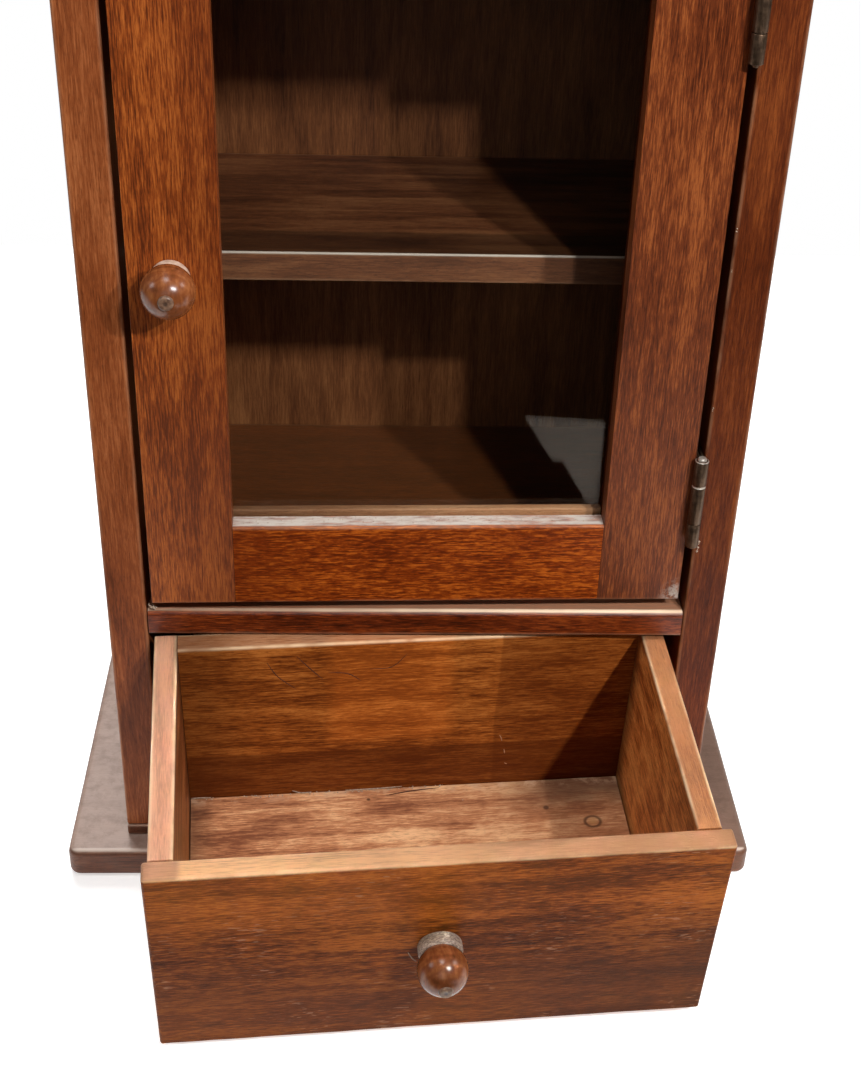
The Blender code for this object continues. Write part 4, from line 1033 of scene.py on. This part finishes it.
LINER_FACE = (0.0, -1.0, 0.0)
UP = (0.0, 0.0, 1.0)
SCRATCHES = (
    ((-0.0736, 0.0469, 0.1344), (-0.0684, 0.0469, 0.1243), (-0.0593, 0.0469, 0.1148)),
    ((-0.0589, 0.0469, 0.1378), (-0.0522, 0.0469, 0.1287), (-0.0461, 0.0469, 0.1210)),
    ((-0.0436, 0.0469, 0.1259), (-0.0336, 0.0469, 0.1242), (-0.0270, 0.0469, 0.1189)),
    ((-0.0226, 0.0469, 0.1268), (-0.0117, 0.0469, 0.1276), (-0.0041, 0.0469, 0.1365)),
)
DRIPS = (
    ((0.0461, 0.0469, 0.0737), (0.0470, 0.0469, 0.0712), (0.0476, 0.0469, 0.0690)),
    ((0.0490, 0.0469, 0.0628), (0.0494, 0.0469, 0.0610), (0.0496, 0.0469, 0.0592)),
    ((0.0500, 0.0469, 0.0520), (0.0508, 0.0469, 0.0512), (0.0516, 0.0469, 0.0509)),
)
FLUFF = (
    ((-0.1160, 0.0460, 0.0376), (-0.1110, 0.0452, 0.0388), (-0.1056, 0.0458, 0.0376)),
    ((-0.0627, 0.0462, 0.0392), (-0.0580, 0.0456, 0.0380), (-0.0527, 0.0460, 0.0376)),
    ((-0.0346, 0.0460, 0.0376), (-0.0200, 0.0452, 0.0386), (-0.0046, 0.0462, 0.0380)),
)
for number, points in enumerate(SCRATCHES, 1):
    stroke(f"liner_scratch_{number}", points, 0.0009, LINER_FACE, "drawer", scratch_dark)
for number, points in enumerate(DRIPS, 1):
    stroke(f"liner_drip_{number}", points, 0.0010, LINER_FACE, "drawer", drip_pale)
for number, points in enumerate(FLUFF, 1):
    stroke(f"joint_fluff_{number}", points, 0.0007, UP, "drawer", fluff_pale, 0.0004)
floor_crack = ((-0.0135, 0.0414, 0.0371), (0.0000, 0.0436, 0.0371), (0.0153, 0.0448, 0.0371))
stroke("board_crack", floor_crack, 0.0009, UP, "drawer", scratch_dark)
fibre = ((-0.0153, -0.0916, 0.0836), (-0.0133, -0.0921, 0.0796), (-0.0114, -0.0918, 0.0771))
stroke("front_fibre", fibre, 0.0006, LINER_FACE, "drawer", fluff_pale, 0.0004)
crumbs("joint_dust", (-0.115, 0.0455, 0.0373), (0.02, 0.0458, 0.0373), 90, (0.003, 0.0008, 0.0001), 0.00045, "drawer", fluff_pale, 3)
crumbs("board_speck", (0.0271, 0.0352, 0.0374), (0.0272, 0.0353, 0.0374), 2, (0.0003, 0.0002, 0.0), 0.0006, "drawer", fluff_pale, 4)
crumbs("ledge_dust", (-0.086, -0.0836, 0.2119), (0.086, -0.0836, 0.2119), 120, (0.001, 0.0032, 0.0001), 0.0003, "door", fluff_pale, 5)
crumbs("hinge_grime", (0.1333, -0.0914, 0.1975), (0.1336, -0.0914, 0.2040), 24, (0.0003, 0.0001, 0.0006), 0.0005, "carcase", fluff_pale, 6)
GAP_SPECKS = ((0.1316, -0.0912, 0.3612), (0.1316, -0.0912, 0.3425), (0.1316, -0.0912, 0.2742))
for number, speck in enumerate(GAP_SPECKS, 1):
    crumbs(f"gap_speck_{number}", speck, speck, 4, (0.0003, 0.0001, 0.0015), 0.0004, "carcase", fluff_pale, 10 + number)
crumbs("gap_grime", (-0.1294, -0.0905, 0.1650), (-0.1268, -0.0900, 0.1620), 34, (0.0007, 0.001, 0.0005), 0.0006, "carcase", fluff_pale, 7)


# Plain materials for the CAD pieces that stay
def glass_shader():
    """Thin clear pane: mostly see-through, mirroring more at a slant."""
    shader = Shader("door_glass")
    coordinates, parts = shader.places()
    smear = shader.noise(coordinates, 14.0, 3.0, 0.6)
    shader.set(Base_Color=shader.ramp(smear, ((0.3, tone(206, 191, 178)), (0.7, tone(222, 206, 192)))))
    shader.surface.inputs["Roughness"].default_value = 0.02
    shader.surface.inputs["Metallic"].default_value = 1.0
    clear = shader.add("BsdfTransparent")
    clear.inputs["Color"].default_value = (0.93, 0.945, 0.94, 1.0)
    slant = shader.add("Fresnel")
    slant.inputs["IOR"].default_value = 1.33
    shader.show_mix(slant.outputs[0], clear, shader.surface)
    return shader.material


def dress(node, material):
    slots = nodes[node].data.materials
    slots.clear()
    slots.append(material)


def dress_wood(node, look, grain, seed):
    span = Vector((9.0, 9.0, 9.0))
    dress(node, wood_shader(node + "_wood", look, grain, span, seed).material)


dress("glass_pane", glass_shader())
dress_wood("back_panel", INNER_LOOK, "Z", 41)
dress_wood("left_runner", BOX_LOOK, "Y", 42)
dress_wood("right_runner", BOX_LOOK, "Y", 43)
dress_wood("drawer_stop", BOX_LOOK, "X", 44)
for seed, node in enumerate(("left_bead", "right_bead"), 45):
    dress_wood(node, RIGHT_STILE_LOOK, "Z", seed)
dress_wood("top_bead", RIGHT_STILE_LOOK, "X", 47)
for node in nodes:
    if node.endswith("_shelf_peg"):
        dress_wood(node, BOX_LOOK, "X", 50)
    elif node.endswith("_back_screw") or node.endswith("knob_screw"):
        dress(node, steel)
    elif "_screw_" in node:
        dress(node, bronze)
for node in ("magnet_catch", "strike_plate", "pivot_nail"):
    dress(node, steel)

# Floor
floor_mesh = bpy.data.meshes.new("floor")
FLOOR_LOW = Vector((-1.6, -0.31, -0.0005))
FLOOR_HIGH = Vector((1.6, 0.75, -0.0005))
floor_rim = [
    (FLOOR_LOW.x, FLOOR_HIGH.y), (FLOOR_LOW.x, FLOOR_LOW.y), (0.155, FLOOR_LOW.y), (0.1535, -0.436),
    (0.1455, -0.500), (0.137, -0.500), (0.1255, -0.570), (0.30, -0.545), (0.30, FLOOR_LOW.y),
    (FLOOR_HIGH.x, FLOOR_LOW.y), (FLOOR_HIGH.x, FLOOR_HIGH.y),
]
floor_mesh.from_pydata([(x, y, FLOOR_LOW.z) for x, y in floor_rim], [], [tuple(range(len(floor_rim)))])
floor = bpy.data.objects.new("floor", floor_mesh)
bpy.context.scene.collection.objects.link(floor)
floor_shader = Shader("pale_floor")
floor_spots, floor_parts = floor_shader.places()
floor_tone = floor_shader.ramp(
    floor_shader.noise(floor_spots, 3.0, 2.0), ((0.3, tone(238, 238, 237)), (0.7, tone(244, 244, 243))),
)
floor_shader.set(Base_Color=floor_tone)
floor_shader.surface.inputs["Roughness"].default_value = 0.85
floor_shader.surface.inputs["Emission Color"].default_value = (1.0, 1.0, 1.0, 1.0)
floor_shader.surface.inputs["Emission Strength"].default_value = 0.55
floor_mesh.materials.append(floor_shader.material)


# Lights
def area_light(name, at, target, size, power, colour=(1.0, 1.0, 1.0)):
    data = bpy.data.lights.new(name, "AREA")
    data.shape = "DISK"
    data.size = size
    data.energy = power
    data.color = colour
    light = bpy.data.objects.new(name, data)
    bpy.context.scene.collection.objects.link(light)
    light.location = at
    light.rotation_euler = (Vector(target) - Vector(at)).to_track_quat("-Z", "Y").to_euler()
    return light


MIDDLE = (0.0, -0.09, 0.28)
LIGHTS = (
    ("front_key", (0.30, -0.81, 0.93), 0.04, 4.6),
    ("side_key", (0.48, -0.80, 0.88), 0.04, 6.2),
    ("drawer_key", (0.48, -0.80, 0.88), 0.04, 4.8),
    ("liner_key", (0.48, -0.80, 0.88), 0.04, 12.0),
    ("board_key", (0.10, -0.80, 0.95), 0.10, 3.5),
    ("front_fill", (-0.15, -1.55, 0.75), 0.90, 1.8),
    ("overhead", (-0.15, -0.45, 1.70), 0.50, 5.5),
    ("rear_overhead", (-0.35, 0.90, 1.40), 0.80, 19.5),
    ("left_fill", (-1.15, -0.35, 0.95), 0.35, 2.0),
    ("right_fill", (1.15, -0.20, 1.05), 0.35, 3.0),
)
made_lights = {name: area_light(name, at, MIDDLE, size, power) for name, at, size, power in LIGHTS}
DOME = 0.10


def link_light(light, pieces, state):
    """Let a light reach only some pieces, or all but those."""
    group = bpy.data.collections.new(light.name + "_group")
    for piece in pieces:
        group.objects.link(piece)
    light.light_linking.receiver_collection = group
    for entry in group.collection_objects:
        entry.light_linking.link_state = state


drawer_pieces = list(frame["bodies"]["drawer"].children)
floor_pieces = [piece for piece in drawer_pieces if piece.name.startswith(("drawer_bottom", "board_", "joint_"))]
liner_pieces = [piece for piece in drawer_pieces if piece.name.startswith(("drawer_back", "liner_"))]
other_pieces = [piece for piece in drawer_pieces if piece not in floor_pieces + liner_pieces]
link_light(made_lights["front_key"], drawer_pieces, "EXCLUDE")
link_light(made_lights["drawer_key"], other_pieces, "INCLUDE")
link_light(made_lights["liner_key"], liner_pieces, "INCLUDE")
link_light(made_lights["board_key"], floor_pieces, "INCLUDE")
for name in ("side_key", "overhead", "left_fill"):
    link_light(made_lights[name], liner_pieces, "EXCLUDE")

world = bpy.data.worlds.new("studio")
bpy.context.scene.world = world
world.use_nodes = True
tree = world.node_tree
back = tree.nodes["Background"]
seen = tree.nodes.new("ShaderNodeBackground")
seen.inputs["Color"].default_value = (1.0, 1.0, 1.0, 1.0)
direction = tree.nodes.new("ShaderNodeTexCoord")
split = tree.nodes.new("ShaderNodeSeparateXYZ")
tree.links.new(direction.outputs["Generated"], split.inputs[0])
sky = tree.nodes.new("ShaderNodeMapRange")
sky.inputs["From Min"].default_value = -0.05
sky.inputs["From Max"].default_value = 0.15
sky.inputs["To Min"].default_value = 0.1 * DOME
sky.inputs["To Max"].default_value = DOME
tree.links.new(split.outputs[2], sky.inputs["Value"])
back.inputs["Color"].default_value = (1.0, 1.0, 1.0, 1.0)
tree.links.new(sky.outputs[0], back.inputs["Strength"])
path = tree.nodes.new("ShaderNodeLightPath")
choose = tree.nodes.new("ShaderNodeMixShader")
tree.links.new(path.outputs["Is Camera Ray"], choose.inputs[0])
tree.links.new(back.outputs[0], choose.inputs[1])
tree.links.new(seen.outputs[0], choose.inputs[2])
tree.links.new(choose.outputs[0], tree.nodes["World Output"].inputs["Surface"])
bpy.context.scene.view_settings.view_transform = "Standard"

# Camera, at the photograph's viewing angle
PITCH, YAW, ROLL = 0.56732988, 0.04991659, 0.03305974
forward = Vector((math.sin(YAW) * math.cos(PITCH), math.cos(YAW) * math.cos(PITCH), -math.sin(PITCH)))
right = Vector((math.cos(YAW), -math.sin(YAW), 0.0))
up = right.cross(forward)
camera_right = math.cos(ROLL) * right + math.sin(ROLL) * up
camera_up = -math.sin(ROLL) * right + math.cos(ROLL) * up
camera_data = bpy.data.cameras.new("camera")
camera_data.sensor_width = 36.0
camera_data.lens = 54.68
camera_data.clip_start = 0.01
camera = bpy.data.objects.new("camera", camera_data)
bpy.context.scene.collection.objects.link(camera)
turn = Matrix((camera_right, camera_up, -forward)).transposed().to_4x4()
camera.matrix_world = Matrix.Translation((-0.027285, -0.745926, 0.620875)) @ turn
bpy.context.scene.camera = camera

bpy.context.view_layer.update()
